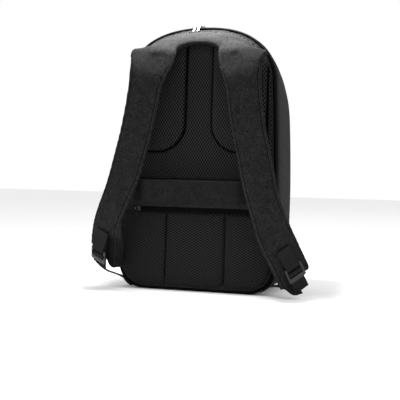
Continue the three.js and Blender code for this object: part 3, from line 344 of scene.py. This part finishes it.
def shell_points(wall, count):
    """Rows from the open edge over the rounded rim to the middle of the front. Each row is the back's
    outline, drawn in by a quarter circle of its depth; the shoulders fall away and the sides bulge along a
    parabola."""
    x, z, out_x, out_z = body_outline(count)
    place_x, place_z = x - out_x * wall, z - out_z * wall

    def drawn_in(share):
        upper = place_z > SHELL_MIDDLE
        rounding = np.where(upper, TOP_ROUNDING, LOW_ROUNDING)
        reach = np.where(upper, BODY_HEIGHT - SHELL_MIDDLE, SHELL_MIDDLE)
        return (place_x * (1 - share * SIDE_ROUNDING / HALF_WIDTH),
                SHELL_MIDDLE + (place_z - SHELL_MIDDLE) * (1 - share * rounding / reach))

    def narrowed(depth):
        height = ARCH_HEIGHT + 30.0 * np.minimum(depth / 0.6, 1)
        climb = np.clip((z - BODY_HEIGHT + height) / height, 0, 1)
        before = np.clip((z - ARCH_START) / ARCH_HEIGHT, 0, 0.9999)
        fallen = 1 - np.minimum(climb, 0.99995) ** ARCH_ROUNDNESS
        return (fallen / (1 - before ** ARCH_ROUNDNESS)) ** (1 / ARCH_ROUNDNESS)

    def row(depth, rounded):
        spot_x, spot_z = drawn_in(rounded)
        bulge = 4 * depth * (1 - depth) * side_bulge * out_x
        return np.stack([spot_x * narrowed(depth) + bulge, start + (end - start) * depth, spot_z], axis=1)

    start = back_y(z) + SHELL_START
    rim_x, rim_z = drawn_in(1.0)
    end = front_y(rim_x, rim_z) - wall
    rounding = LOW_ROUNDING + (SIDE_ROUNDING - LOW_ROUNDING) * smooth_step(z, 0, 2 * BOTTOM_CORNER)
    crown = smooth_step(out_z, 0.15, 0.85)
    straight = np.maximum(1 - rounding / (end - start), 0.1) * (1 - crown)
    side_bulge = SIDE_BULGE - SIDE_BULGE * smooth_step(z, 290, 360)
    rows = []
    for share in np.linspace(0, 1, 9, endpoint=False):
        rows.append(row((straight * (1 - crown) + 0.04 * crown) * share, 0.0))
    for angle in np.linspace(0, math.pi / 2, 27)[1:]:
        rounded = (1 - crown) * (1 - math.cos(angle)) + crown * math.sin(angle) ** 2
        rows.append(row(straight + (1 - straight) * math.sin(angle), rounded))
    for share in np.linspace(1, 0.02, 26)[1:]:
        face_x = rim_x * share * narrowed(1.0)
        face_z = SHELL_MIDDLE + (rim_z - SHELL_MIDDLE) * share
        rows.append(np.stack([face_x, front_y(face_x, face_z) - wall, face_z], axis=1))
    return np.stack(rows)


outer = shell_points(0.0, 300)
fade = smooth_step(outer[..., 1], -52, -20) * smooth_step(outer[..., 2], 6, 50)
outer[..., 0] += ripple(outer, 95.0, 0.9, 3) * fade
outer[..., 1] += ripple(outer, 120.0, 0.9, 5) * fade
inner = shell_points(3.0, 300)
skin = np.concatenate([outer[::-1], inner])
shell = grid_piece("shell_seen", skin, shell_cloth, wrap=True, ends=True)
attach(shell, "root")
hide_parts("front_shell")


# Zip band and chain: black grosgrain tape sewn in between the shell and the back panel, set back a little,
# with the closed chain of the main zip on it. The inner face of the tape is hidden.
def plain_look(name, colour, roughness, metallic=0.0, gloss=CLOTH_GLOSS):
    """One even colour, for tapes, moulded plastic and metal."""
    look = Look(name, roughness, metallic)
    look.shader.inputs["Base Color"].default_value = (*colour, 1)
    look.shader.inputs["Specular IOR Level"].default_value = gloss
    return look.material


black_tape = plain_look("black_tape", (0.002, 0.002, 0.0021), 0.7, gloss=0.03)


def copy_piece(node, material, bevel=0.0):
    """A visual twin of a hard or thin CAD node, with edges softened by a bevel of bevel millimetres when one
    is given.
    """
    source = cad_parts[node]
    piece = bpy.data.objects.new(node + "_seen", source.data.copy())
    bpy.context.collection.objects.link(piece)
    piece.data.materials.clear()
    piece.data.materials.append(material)
    if bevel:
        soft = piece.modifiers.new("soft", "BEVEL")
        soft.width = bevel / 1000.0
        soft.segments = 2
        soft.limit_method = "ANGLE"
    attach(piece, "root")
    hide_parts(node)
    return piece


x, z, out_x, out_z = body_outline(280)
sections = []
BAND_START = PIPING_THICKNESS + SEAM_GAP
BAND_END = BAND_START + BAND_WIDTH
for inward, depth in ((2.0, BAND_START), (2.0, BAND_END), (3.6, BAND_END), (3.6, BAND_START)):
    sections.append(np.stack([x - out_x * inward, back_y(z) + depth, z - out_z * inward], axis=1))
band_points = np.stack(sections, axis=1)
band_points = np.concatenate([band_points, band_points[:1]])
band = grid_piece("zip_band_seen", band_points, black_tape, wrap=True)
band.data.polygons.foreach_set("use_smooth", np.zeros(len(band.data.polygons), dtype=bool))
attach(band, "root")
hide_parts("zip_band")

copy_piece("zip_chain", black_tape)


# Rim piping: black cord covered with cloth, sewn in all round the edge of the back panel. It is a circle
# swept along the outline of the back.
radius = PIPING_THICKNESS / 2
rings = []
for angle in np.linspace(0, 2 * math.pi, 16, endpoint=False):
    inward = radius - radius * math.cos(angle)
    depth = back_y(z) + radius + radius * math.sin(angle)
    rings.append(np.stack([x - out_x * inward, depth, z - out_z * inward], axis=1))
piping_points = np.stack(rings, axis=1)
piping_points = np.concatenate([piping_points, piping_points[:1]])
piping = grid_piece("rim_piping_seen", piping_points, black_tape, wrap=True)
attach(piping, "root")
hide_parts("rim_piping")


# Sliders and pulls: die-cast metal bodies on the chain that meet at the top, each with a short tab, and the
# smaller slider of the back pocket.
zip_metal = plain_look("zip_metal", (0.10, 0.10, 0.105), 0.45, 1.0)
for name in ("zip_slider_left", "zip_slider_right", "zip_pull_left", "zip_pull_right", "pocket_slider"):
    copy_piece(name, zip_metal, 0.3)


# Back board: the stiff foam board under the mesh, covered with plain cloth and sewn in along the piping.
# Only its rim shows.
panel_cloth = cloth_look("panel_cloth", (0.008, 0.008, 0.0082), (0.025, 0.025, 0.0257))
panel = copy_piece("back_panel", panel_cloth)


# Mesh back: spacer mesh over foam, laid on the board, with a raised pad behind each shoulder. A sewn
# channel runs round each pad.
def mesh_look(name, across, upright, light):
    """Spacer mesh: staggered open cells, dark inside, with slightly lighter yarn around them, as the
    product of a cosine along x and one along z. across and upright are their wave lengths in millimetres,
    and the seam attribute darkens a sewn channel with painted shade."""
    look = Look(name, 0.75)
    millimetres = look.millimetres()
    x, _, z = look.split(millimetres)
    cells = (x * (2 * math.pi / across)).cosine() * (z * (2 * math.pi / upright)).cosine()
    yarn = look.noise(millimetres, 0.9)
    rim = 1.0 - (cells * 2.2 + 0.15).clamp()
    share = rim * 0.8 + (yarn - 0.5) * 0.3 - look.attribute("seam")
    look.colour(share, (0.0005, 0.0005, 0.0005), (light, light, light * 1.02))
    look.bump(rim, 0.9, 0.8)
    look.shader.inputs["Specular IOR Level"].default_value = CLOTH_GLOSS
    return look.material


RIM_MARGIN = 7.9
upper_cells = mesh_look("upper_cells", 4.7, 7.3, 0.028)


def outline_half_width(z, margin):
    """Half width of the back at a height, set in by a margin: corner arc, straight side or superellipse."""
    upper = np.clip((z - ARCH_START) / (ARCH_HEIGHT - margin), 0, 1)
    arch = (SHOULDER_HALF_WIDTH - margin) * (1 - upper ** ARCH_ROUNDNESS) ** (1 / ARCH_ROUNDNESS)
    lower = np.clip((BOTTOM_CORNER - z) / (BOTTOM_CORNER - margin), 0, 1)
    corner = (BOTTOM_CORNER - margin) * (1 - np.sqrt(1 - lower ** 2))
    side = side_half_width(np.maximum(z, BOTTOM_CORNER)) - margin - corner
    return np.where(z > ARCH_START, arch, side)


def cushion_points(low, high, left, right, relief, base, rows, columns):
    """A pad on the back plane: rows from low to high, columns from left(z) to right(z), closer together
    towards the rims along a cosine. relief(x, z, edge) gives its height over the base; edge is the distance
    to the nearest rim."""
    z = low + (high - low) * (1 - np.cos(np.linspace(0, math.pi, rows))) / 2
    z = 0.6 * z + 0.4 * np.linspace(low, high, rows)
    share = (1 - np.cos(np.linspace(0, math.pi, columns))) / 2
    share = 0.6 * share + 0.4 * np.linspace(0, 1, columns)
    z_grid = np.repeat(z[:, None], columns, axis=1)
    from_left = left(z)[:, None]
    to_right = right(z)[:, None]
    x_grid = from_left + (to_right - from_left) * share[None, :]
    across_edge = np.minimum(x_grid - from_left, to_right - x_grid)
    edge = np.minimum(across_edge, np.minimum(z_grid - low, high - z_grid))
    height = base + relief(x_grid, z_grid, np.maximum(edge, 0))
    front = np.stack([x_grid, back_y(z_grid) - height, z_grid], axis=-1)
    back = np.stack([x_grid, back_y(z_grid) - base, z_grid], axis=-1)
    return front, back


def cushion(name, material, front, back):
    """Closes a pad: its face and its flat underside, joined round the rim."""
    face_rows = np.concatenate([front, back[:, ::-1]], axis=1)
    return grid_piece(name, face_rows, material, wrap=True, ends=True)


def pillow(edge, rise, width):
    """Round shoulder of a pad: the rise is reached over the width, along a quarter circle."""
    share = np.clip(edge / width, 0, 1)
    return rise * np.sqrt(1 - (1 - share) ** 2)


LOBE_INNER, LOBE_OUTER, LOBE_BOTTOM, LOBE_CORNER = 22.5, 116.0, 232.0, 48.0


def lobe_distance(x, z):
    """Distance inside the raised pad behind a shoulder: the least distance to its inner, lower and outer
    edge, with a round lower inner corner."""
    across = np.abs(x) - LOBE_INNER
    above = z - LOBE_BOTTOM
    in_corner = (across < LOBE_CORNER) & (above < LOBE_CORNER)
    rounded = LOBE_CORNER - np.hypot(LOBE_CORNER - across, LOBE_CORNER - above)
    outer_edge = LOBE_OUTER - np.abs(x)
    return np.minimum(np.where(in_corner, rounded, np.minimum(across, above)), outer_edge)


def upper_relief(x, z, edge):
    """Facing 4 mm thick with a lobe raised by 6 mm on each side, and a sewn groove round each lobe with a
    bell-shaped section."""
    inside = lobe_distance(x, z)
    raised = pillow(np.maximum(inside, 0), 6.0, 9.0)
    groove = 1.6 * np.exp(-(inside / 2.2) ** 2)
    facing = pillow(edge, 4.0, 4.0)
    return facing + raised * smooth_step(edge, 0, 12) - groove * smooth_step(edge, 0, 8)


def rim_left(z):
    """Left end of a pad that reaches the rim of the board."""
    return -outline_half_width(z, RIM_MARGIN)


def rim_right(z):
    """Right end of a pad that reaches the rim of the board."""
    return outline_half_width(z, RIM_MARGIN)


front, back = cushion_points(186.8, 434.1, rim_left, rim_right, upper_relief, SEAM_GAP, 210, 210)
upper = cushion("upper_mesh_seen", upper_cells, front, back)
places = np.array([corner.co for corner in upper.data.vertices]) * 1000.0
# Painted shade in the sewn channel round each lobe: it darkens the mesh colour along the groove.
channel_shade = np.exp(-(lobe_distance(places[:, 0], places[:, 2]) / 1.6) ** 2)
layer = upper.data.attributes.new("seam", "FLOAT", "POINT")
layer.data.foreach_set("value", channel_shade.astype(np.float32))
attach(upper, "root")
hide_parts("upper_mesh", "shoulder_pad_left", "shoulder_pad_right")


# Lumbar pads: three coarser mesh pads over foam below the pocket, a middle one and two that follow the
# lower corners, sewn on the board with narrow gaps between them.
lower_cells = mesh_look("lower_cells", 7.5, 4.4, 0.023)


def lumbar_relief(x, z, edge):
    """Foam pad about 7 mm high with a round shoulder and a slight crown."""
    return pillow(edge, 6.0, 8.0) + 1.2 * smooth_step(edge, 0, 30)


def corner_cut(radius, above):
    """What a rounded corner takes off an edge at a height above its lowest point."""
    share = np.clip(1 - above / radius, 0, 1)
    return radius * (1 - np.sqrt(1 - share ** 2))


def middle_edge(z):
    """Half width of the middle pad, with round lower corners."""
    return PAD_HALF_WIDTH - corner_cut(12, z - PAD_LOW)


PAD_LOW, PAD_HIGH, PAD_HALF_WIDTH, WING_START = 8.0, 130.7, 51.0, 51.8
lumbar_edges = {
    "lumbar_pad": (lambda z: -middle_edge(z), middle_edge),
    "lumbar_wing_left": (rim_left, lambda z: 0 * z - WING_START),
    "lumbar_wing_right": (lambda z: 0 * z + WING_START, rim_right),
}
for node, (left, right) in lumbar_edges.items():
    front, back = cushion_points(PAD_LOW, PAD_HIGH, left, right, lumbar_relief, SEAM_GAP, 110, 90)
    pad = cushion(node + "_seen", lower_cells, front, back)
    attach(pad, "root")
    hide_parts(node)


# Pocket band, its zip and puller: plain cloth over thin foam across the lower back, a coil zip under its
# edge, and a short tape tied to the slider.
def webbing_look(name, dark, light):
    """Woven tape: small ribs, 2.4 mm apart along x and 2.6 mm apart along z, as a product of cosines."""
    look = Look(name, 0.72)
    millimetres = look.millimetres()
    x, _, z = look.split(millimetres)
    ribs = (x * (2 * math.pi / 2.4)).cosine() * (z * (2 * math.pi / 2.6)).cosine()
    flecks = look.noise(millimetres, 1.2)
    look.colour(ribs * 0.25 + flecks, dark, light)
    look.bump(ribs, 0.25, 0.7)
    look.shader.inputs["Specular IOR Level"].default_value = CLOTH_GLOSS
    return look.material


tape = webbing_look("tape", (0.0045, 0.0045, 0.0047), (0.020, 0.020, 0.0205))


def band_relief(x, z, edge):
    """Cloth band 4 mm high with a round rim."""
    return pillow(edge, 4.0, 3.0)


front, back = cushion_points(139.3, 186.0, rim_left, rim_right, band_relief, SEAM_GAP, 40, 160)
pocket = cushion("pocket_band_seen", panel_cloth, front, back)
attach(pocket, "root")
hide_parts("pocket_band")
copy_piece("pocket_zip", black_tape)
copy_piece("pocket_puller", tape)


# Shoulder harness: the yoke along the top and both padded straps, which grow out of it without a seam.
# Cloth over thick foam; the straps hang free from the yoke down to the locks and have a sewn edge. The join
# and the swell of the foam come from a remesh and a short cloth simulation.
strap_cloth = cloth_look("strap_cloth", (0.0037, 0.0037, 0.0038), (0.022, 0.022, 0.0225), seam=4.2)
NECK_HALF_WIDTH, NECK_HEIGHT, YOKE_HEIGHT, YOKE_INSET = 40.0, 410.0, 389.0, 9.9
STRAP_ROWS = [
    # height, across, stand off the back, turn outwards in degrees, width
    (412.0, 73.5, 17.0, 0.0, 73.0),
    (400.0, 74.5, 24.0, 0.0, 74.0),
    (388.7, 75.0, 27.8, 0.0, 74.5),
    (357.1, 80.6, 36.5, 0.0, 63.3),
    (338.0, 84.1, 38.2, 0.0, 57.1),
    (315.9, 87.0, 39.2, 0.0, 56.0),
    (260.0, 97.0, 40.2, 0.0, 54.3),
    (218.0, 107.1, 40.7, 1.9, 54.3),
    (186.9, 114.5, 43.1, 4.9, 53.8),
    (158.2, 123.0, 48.0, 9.1, 51.5),
    (129.8, 133.5, 49.0, 15.2, 52.6),
]
STRAP_ENDS = {
    "right": [
        (100.1, 143.5, 42.1, 26.6, 57.7),
        (68.7, 156.7, 27.9, 38.0, 60.5),
        (35.9, 170.0, 11.8, 39.9, 61.6),
    ],
    "left": [
        (104.1, 143.0, 43.1, 19.0, 56.0),
        (77.5, 150.3, 33.3, 20.9, 57.7),
        (50.9, 156.3, 20.6, 20.9, 58.8),
    ],
}
# How much shorter than the middle line the padding ends, across the strap from its inner to its outer edge.
STRAP_CUTS = {"right": (-9.0, -8.0, -5.0, -4.0, -6.0), "left": (-6.0, -13.0, 14.0, 14.0, 12.0)}
# How far the padding's top end falls at its inner edge, in the middle, halfway out and at its outer edge,
# and how much wider the strap flares at the yoke on its outer side.
STRAP_SHOULDERS = {"right": (0, 0, 12, 24), "left": (0, 0, 7, 15)}
STRAP_FLARES = {"right": 7.0, "left": 2.0}


def threaded(rows, count):
    """A smooth line through table rows: cubic pieces over the distance between rows, with slopes from the
    neighbouring rows. Returns count evenly spaced rows."""
    rows = np.array(rows, dtype=float)
    steps = np.linalg.norm(np.diff(rows[:, :3], axis=0), axis=1)
    along = np.concatenate([[0], np.cumsum(steps)])
    slopes = np.gradient(rows, along, axis=0)
    spots = np.linspace(0, along[-1], count)
    index = np.clip(np.searchsorted(along, spots, side="right") - 1, 0, len(along) - 2)
    length = (along[index + 1] - along[index])[:, None]
    share = ((spots - along[index]) / length[:, 0])[:, None]
    square, cube = share ** 2, share ** 3
    return ((2 * cube - 3 * square + 1) * rows[index] + (cube - 2 * square + share) * length * slopes[index]
            + (3 * square - 2 * cube) * rows[index + 1] + (cube - square) * length * slopes[index + 1])


class StrapPath:
    """The middle line of one strap, with its width direction and face normal at distances from the top."""

    def __init__(self, name):
        side = 1.0 if name == "right" else -1.0
        line = threaded(STRAP_ROWS + STRAP_ENDS[name], 240)
        middle = np.stack([side * line[:, 1], back_y(line[:, 0]) - line[:, 2], line[:, 0]], axis=1)
        down = np.gradient(middle, axis=0)
        down /= np.linalg.norm(down, axis=1, keepdims=True)
        self.distance = np.concatenate([[0], np.cumsum(np.linalg.norm(np.diff(middle, axis=0), axis=1))])
        turn = np.radians(line[:, 3])
        wanted = np.stack([side * np.sin(turn), -np.cos(turn), 0 * turn], axis=1)
        across = np.cross(wanted, down) * side
        across /= np.linalg.norm(across, axis=1, keepdims=True)
        normal = np.cross(across, down) * -side
        level = smooth_step(self.distance, 4, 26)[:, None]
        across = level * across + (1 - level) * np.array([side, 0, 0])
        normal = level * normal + (1 - level) * np.array([0, -1.0, 0])
        self.table = np.hstack([middle, across, normal, down, line[:, 4:5] / 2])
        self.length = self.distance[-1]

    def at(self, distance):
        """Middle, width direction, normal and half width at distances, straight on beyond the end."""
        values = np.stack([np.interp(distance, self.distance, column) for column in self.table.T], axis=-1)
        beyond = np.maximum(distance - self.length, 0)[..., None]
        middle = values[..., :3] + beyond * values[..., 9:12]
        return middle, values[..., 3:6], values[..., 6:9], values[..., 12]


def strap_points(name):
    """Closed skin of one strap. Its section is a superellipse, its ends are cut by tables across the width,
    and the left strap's inner corner is rolled back behind its lock."""
    path = StrapPath(name)
    angle = np.linspace(0, 2 * math.pi, 64, endpoint=False)
    u = np.sign(np.cos(angle)) * np.abs(np.cos(angle)) ** 0.35
    v = np.sign(np.sin(angle)) * np.abs(np.sin(angle)) ** 0.62
    spot = np.linspace(0, path.length, 200)[:, None]
    cut = np.interp(u, np.linspace(-1, 1, 5), STRAP_CUTS[name])[None, :]
    shoulder = np.interp(u, [-1, 0, 0.5, 1], STRAP_SHOULDERS[name])[None, :]
    distance = (spot - cut * smooth_step(spot, path.length - 75, path.length)
                + shoulder * (1 - smooth_step(spot, 0, 50)))
    middle, across, normal, half = path.at(distance)
    from_tip = path.length - spot
    tip = np.sqrt(1 - (1 - np.clip(from_tip / 6.0, 0, 1)) ** 2)
    lift = 0 * distance
    reach = 0 * distance
    if name == "left":
        rolled = smooth_step(spot, path.length - 66, path.length - 36)
        inner = smooth_step(-u, 0.05, 0.95)[None, :]
        reach = -9.0 * smooth_step(spot, path.length - 90, path.length - 46) * inner
        lift = -9.0 * rolled * inner ** 2 - 4.5 * rolled * np.exp(-((u[None, :] + 0.16) / 0.12) ** 2)
        crease = np.exp(-((u[None, :] - 0.28) / 0.05) ** 2) + np.exp(-((u[None, :] - 0.04) / 0.05) ** 2)
        lift = lift - 0.8 * crease * smooth_step(spot, path.length - 52, path.length - 30)
    outwards = smooth_step(u, 0.3, 1.0)[None, :]
    flare = STRAP_FLARES[name] * (1 - smooth_step(distance, 22, 56)) * outwards
    sideways = u * (half * 1.02 + 0.6) * (0.9 + 0.1 * tip) + reach + flare
    rise = v * 5.0 * (0.5 + 0.5 * tip) + lift
    return middle + across * sideways[..., None] + normal * rise[..., None]


def yoke_outer(share):
    """Upper edge of the yoke: the superellipse arch of the back, set in by about 10 mm, from the right root
    to the left one."""
    reach = ARCH_HEIGHT - YOKE_INSET
    lowest = math.asin(((YOKE_HEIGHT - ARCH_START) / reach) ** (ARCH_ROUNDNESS / 2))
    turn = lowest + (math.pi - 2 * lowest) * share
    power = 2 / ARCH_ROUNDNESS
    across = np.sign(np.cos(turn)) * np.abs(np.cos(turn)) ** power
    return across * (SHOULDER_HALF_WIDTH - YOKE_INSET), ARCH_START + reach * np.sin(turn) ** power


def yoke_inner(share):
    """Lower edge of the yoke: level over each strap root, then a half ellipse round the neck."""
    end = np.minimum(share, 1 - share)
    side = np.where(share < 0.5, 1.0, -1.0)
    root = yoke_outer(np.array(0.0))[0]
    level = root + (NECK_HALF_WIDTH - root) * np.minimum(end / 0.3, 1)
    angle = np.clip((end - 0.3) / 0.2, 0, 1) * math.pi / 2
    return (side * np.where(end <= 0.3, level, NECK_HALF_WIDTH * np.cos(angle)),
            np.where(end <= 0.3, YOKE_HEIGHT, YOKE_HEIGHT + (NECK_HEIGHT - YOKE_HEIGHT) * np.sin(angle)))


LIP_START = 0.86


def yoke_points():
    """Closed skin of the yoke: sections from its upper to its lower edge, deep over the roots and thin over
    the neck, rising along a quarter sine and falling at the neck's lip."""
    share = np.linspace(0.004, 0.996, 180)
    outer_x, outer_z = yoke_outer(share)
    inner_x, inner_z = yoke_inner(share)
    end = np.minimum(share, 1 - share)
    thickness = 28.0 + (14.0 - 28.0) * smooth_step(end, 0.18, 0.5)
    thickness = thickness - np.where(outer_x > 0, 19.0, 6.0) * (1 - smooth_step(end, 0.0, 0.2))
    neck = smooth_step(end, 0.26, 0.34)
    overhang = np.where(outer_x < 0, 14.0, 0.0)
    spread = overhang * np.sign(outer_x) * (1 - smooth_step(end, 0.02, 0.3))
    profile = []
    for across in np.linspace(0, 1, 34):
        rise = 0.2 + 0.8 * math.sin(min(across / LIP_START, 1) * math.pi / 2) ** 0.9
        profile.append((across, rise, max(across - LIP_START, 0) / (1 - LIP_START)))
    profile += [(1.0, rise, 1.0) for rise in (0.6, 0.35, 0.1, 0.0)]
    profile += [(across, 0.0, 0.0) for across in (0.8, 0.6, 0.4, 0.2, 0.0)]
    rings = []
    for across, rise, lip in profile:
        ring_x = outer_x + (inner_x - outer_x) * across + spread * rise
        ring_z = outer_z + (inner_z - outer_z) * across
        lifted = np.maximum(rise - 0.16 * lip * neck, 0) * thickness
        rings.append(np.stack([ring_x, back_y(ring_z) - 4.6 - lifted, ring_z], axis=1))
    return np.stack(rings, axis=1)


def joined(name, grids, material):
    """One object from several closed grids."""
    vertices, faces = [], []
    for index, grid in enumerate(grids):
        part = grid_piece(f"{name}_{index}", grid, material, wrap=True, ends=True)
        offset = len(vertices)
        vertices += [tuple(corner.co) for corner in part.data.vertices]
        faces += [[offset + corner for corner in face.vertices] for face in part.data.polygons]
        data = part.data
        bpy.data.objects.remove(part)
        bpy.data.meshes.remove(data)
    mesh = bpy.data.meshes.new(name)
    mesh.from_pydata(vertices, [], faces)
    mesh.materials.append(material)
    piece = bpy.data.objects.new(name, mesh)
    bpy.context.collection.objects.link(piece)
    return piece


def applied(piece):
    """Puts what the modifiers make of a piece into its mesh and takes them off."""
    graph = bpy.context.evaluated_depsgraph_get()
    graph.update()
    mesh = bpy.data.meshes.new_from_object(piece.evaluated_get(graph))
    old = piece.data
    piece.modifiers.clear()
    piece.data = mesh
    bpy.data.meshes.remove(old)


def corners(piece):
    """The vertex places of a piece in millimetres."""
    places = np.empty(len(piece.data.vertices) * 3)
    piece.data.vertices.foreach_get("co", places)
    return places.reshape(-1, 3) * 1000.0


def set_corners(piece, places):
    """Moves the vertices of a piece to places in millimetres."""
    piece.data.vertices.foreach_set("co", (places / 1000.0).ravel())
    piece.data.update()


SWELL_STEPS = 20


def swell(piece, firm, pressure, cap):
    """Cloth simulation of a padded piece: pressure from inside, no gravity, vertices held as much as firm
    says from 0 to 1, and no vertex moved further than cap millimetres."""
    before = corners(piece)
    group = piece.vertex_groups.new(name="held")
    for index, weight in enumerate(firm):
        group.add([index], float(weight), "REPLACE")
    cloth = piece.modifiers.new("cloth", "CLOTH")
    settings = cloth.settings
    settings.quality = 4
    settings.mass = 0.3
    settings.tension_stiffness = settings.compression_stiffness = 15
    settings.bending_stiffness = 3
    settings.use_pressure = True
    settings.uniform_pressure_force = pressure
    settings.effector_weights.gravity = 0
    settings.vertex_group_mass = "held"
    cloth.point_cache.frame_start, cloth.point_cache.frame_end = 1, SWELL_STEPS
    for step in range(1, SWELL_STEPS + 1):
        bpy.context.scene.frame_set(step)
    applied(piece)
    bpy.context.scene.frame_set(1)
    moved = corners(piece) - before
    length = np.linalg.norm(moved, axis=1, keepdims=True)
    set_corners(piece, before + moved * np.minimum(1, cap / np.maximum(length, 1e-6)))
    piece.vertex_groups.clear()


HARNESS_GRAIN = 0.0028
harness = joined("harness", [yoke_points(), strap_points("left"), strap_points("right")], strap_cloth)
remesh = harness.modifiers.new("remesh", "REMESH")
remesh.mode, remesh.voxel_size = "VOXEL", HARNESS_GRAIN
smooth = harness.modifiers.new("smooth", "SMOOTH")
smooth.iterations, smooth.factor = 4, 0.5
applied(harness)
places = corners(harness)
paths = {name: StrapPath(name) for name in ("left", "right")}


def on_straps(places):
    """For each place the signed offset across the nearer strap, its half width there and the distance to its
    end."""
    answer = np.zeros((len(places), 3))
    for name, side in (("left", -1.0), ("right", 1.0)):
        path = paths[name]
        mine = places[:, 0] * side > 0
        if not mine.any():
            continue
        spots = np.linspace(0, path.length + 8, 500)
        middle, across, _, half = path.at(spots)
        chosen = places[mine]
        nearest = np.empty(len(chosen), dtype=int)
        for begin in range(0, len(chosen), 4000):
            gap = chosen[begin:begin + 4000, None, :] - middle[None]
            nearest[begin:begin + 4000] = np.argmin((gap ** 2).sum(axis=2), axis=1)
        offset = ((chosen - middle[nearest]) * across[nearest]).sum(axis=1)
        to_end = path.length - spots[nearest]
        answer[mine] = np.stack([offset, half[nearest], to_end], axis=1)
    return answer


strap_place = on_straps(places)
edge = strap_place[:, 1] - np.abs(strap_place[:, 0])
on_yoke = places[:, 2] > YOKE_HEIGHT - 2
held = np.where(on_yoke, 0.35, 1 - smooth_step(edge, 2.0, 7.0))
held = np.maximum(held, 1 - smooth_step(strap_place[:, 2], 25, 70))
held = np.maximum(held, (places[:, 1] > back_y(places[:, 2]) - 9.0) * 1.0)
swell(harness, held, 4.0, 5.0)
refine = harness.modifiers.new("refine", "SUBSURF")
refine.levels = refine.render_levels = 1
applied(harness)
places = corners(harness)
strap_place = on_straps(places)
edge = strap_place[:, 1] - np.abs(strap_place[:, 0])
edge = np.where(places[:, 2] > YOKE_HEIGHT - 20, 40.0, edge)
normals = np.empty(len(places) * 3)
harness.data.vertices.foreach_get("normal", normals)
normals = normals.reshape(-1, 3)
wave = ripple(places, 60.0, 0.55, 11) * smooth_step(edge, 3, 10)
set_corners(harness, places + normals * wave[:, None])
layer = harness.data.attributes.new("edge", "FLOAT", "POINT")
layer.data.foreach_set("value", edge.astype(np.float32))
# Painted shade in the fold at the low end of the left strap: the strap cloth darkens its colour by this
# attribute.
across_share = -strap_place[:, 0] / strap_place[:, 1]
low_end = 1 - smooth_step(strap_place[:, 2], 38, 62)
fold_shade = low_end * smooth_step(across_share, 0.0, 0.35) * (places[:, 0] < 0)
fold_shade = fold_shade * (0.75 - 0.35 * smooth_step(across_share, 0.5, 0.9))
layer = harness.data.attributes.new("fold_shade", "FLOAT", "POINT")
layer.data.foreach_set("value", fold_shade.astype(np.float32))
harness.data.polygons.foreach_set("use_smooth", np.ones(len(harness.data.polygons), dtype=bool))
harness.data.materials.clear()
harness.data.materials.append(strap_cloth)
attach(harness, "root")
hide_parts("yoke", "shoulder_strap_left", "shoulder_strap_right")


# Webbing, locks and lower straps: woven tape sewn on the pads and threaded through moulded ladder locks.
# The lower straps are thin, so their faces are pushed outwards by a length in metres.
dark_plastic = plain_look("dark_plastic", (0.013, 0.013, 0.0137), 0.45, gloss=0.35)
LOWER_WEBBING_SWELL = {"left": 0.0011, "right": 0.0004}
for name in ("left", "right"):
    copy_piece(f"strap_patch_{name}", tape)
    copy_piece(f"ladder_lock_{name}", dark_plastic, 0.45)
    webbing = copy_piece(f"lower_webbing_{name}", tape)
    webbing.modifiers.new("weld", "WELD").merge_threshold = 0.00001
    thicker = webbing.modifiers.new("thicker", "DISPLACE")
    thicker.strength, thicker.mid_level = LOWER_WEBBING_SWELL[name], 0.0


# Trolley strap: a wide double cloth band across the back, sewn down at both sides and standing off the back
# between them.
trolley_cloth = cloth_look("trolley_cloth", (0.005, 0.005, 0.0052), (0.0155, 0.0155, 0.016))
copy_piece("trolley_strap", trolley_cloth)


# Floor: a plain pale sheet of matt studio paper under the bag. It reaches far past the picture and lies half
# a millimetre below the base.
REACH, FLOOR_HEIGHT = 8, -0.0005
floor_corners = [(REACH * x, REACH * y, FLOOR_HEIGHT) for x, y in ((-1, -1), (1, -1), (1, 1), (-1, 1))]
floor_mesh = bpy.data.meshes.new("floor")
floor_mesh.from_pydata(floor_corners, [], [(0, 1, 2, 3)])
floor_mesh.materials.append(plain_look("floor_white", (0.85, 0.85, 0.85), 0.9))
floor = bpy.data.objects.new("floor", floor_mesh)
bpy.context.collection.objects.link(floor)
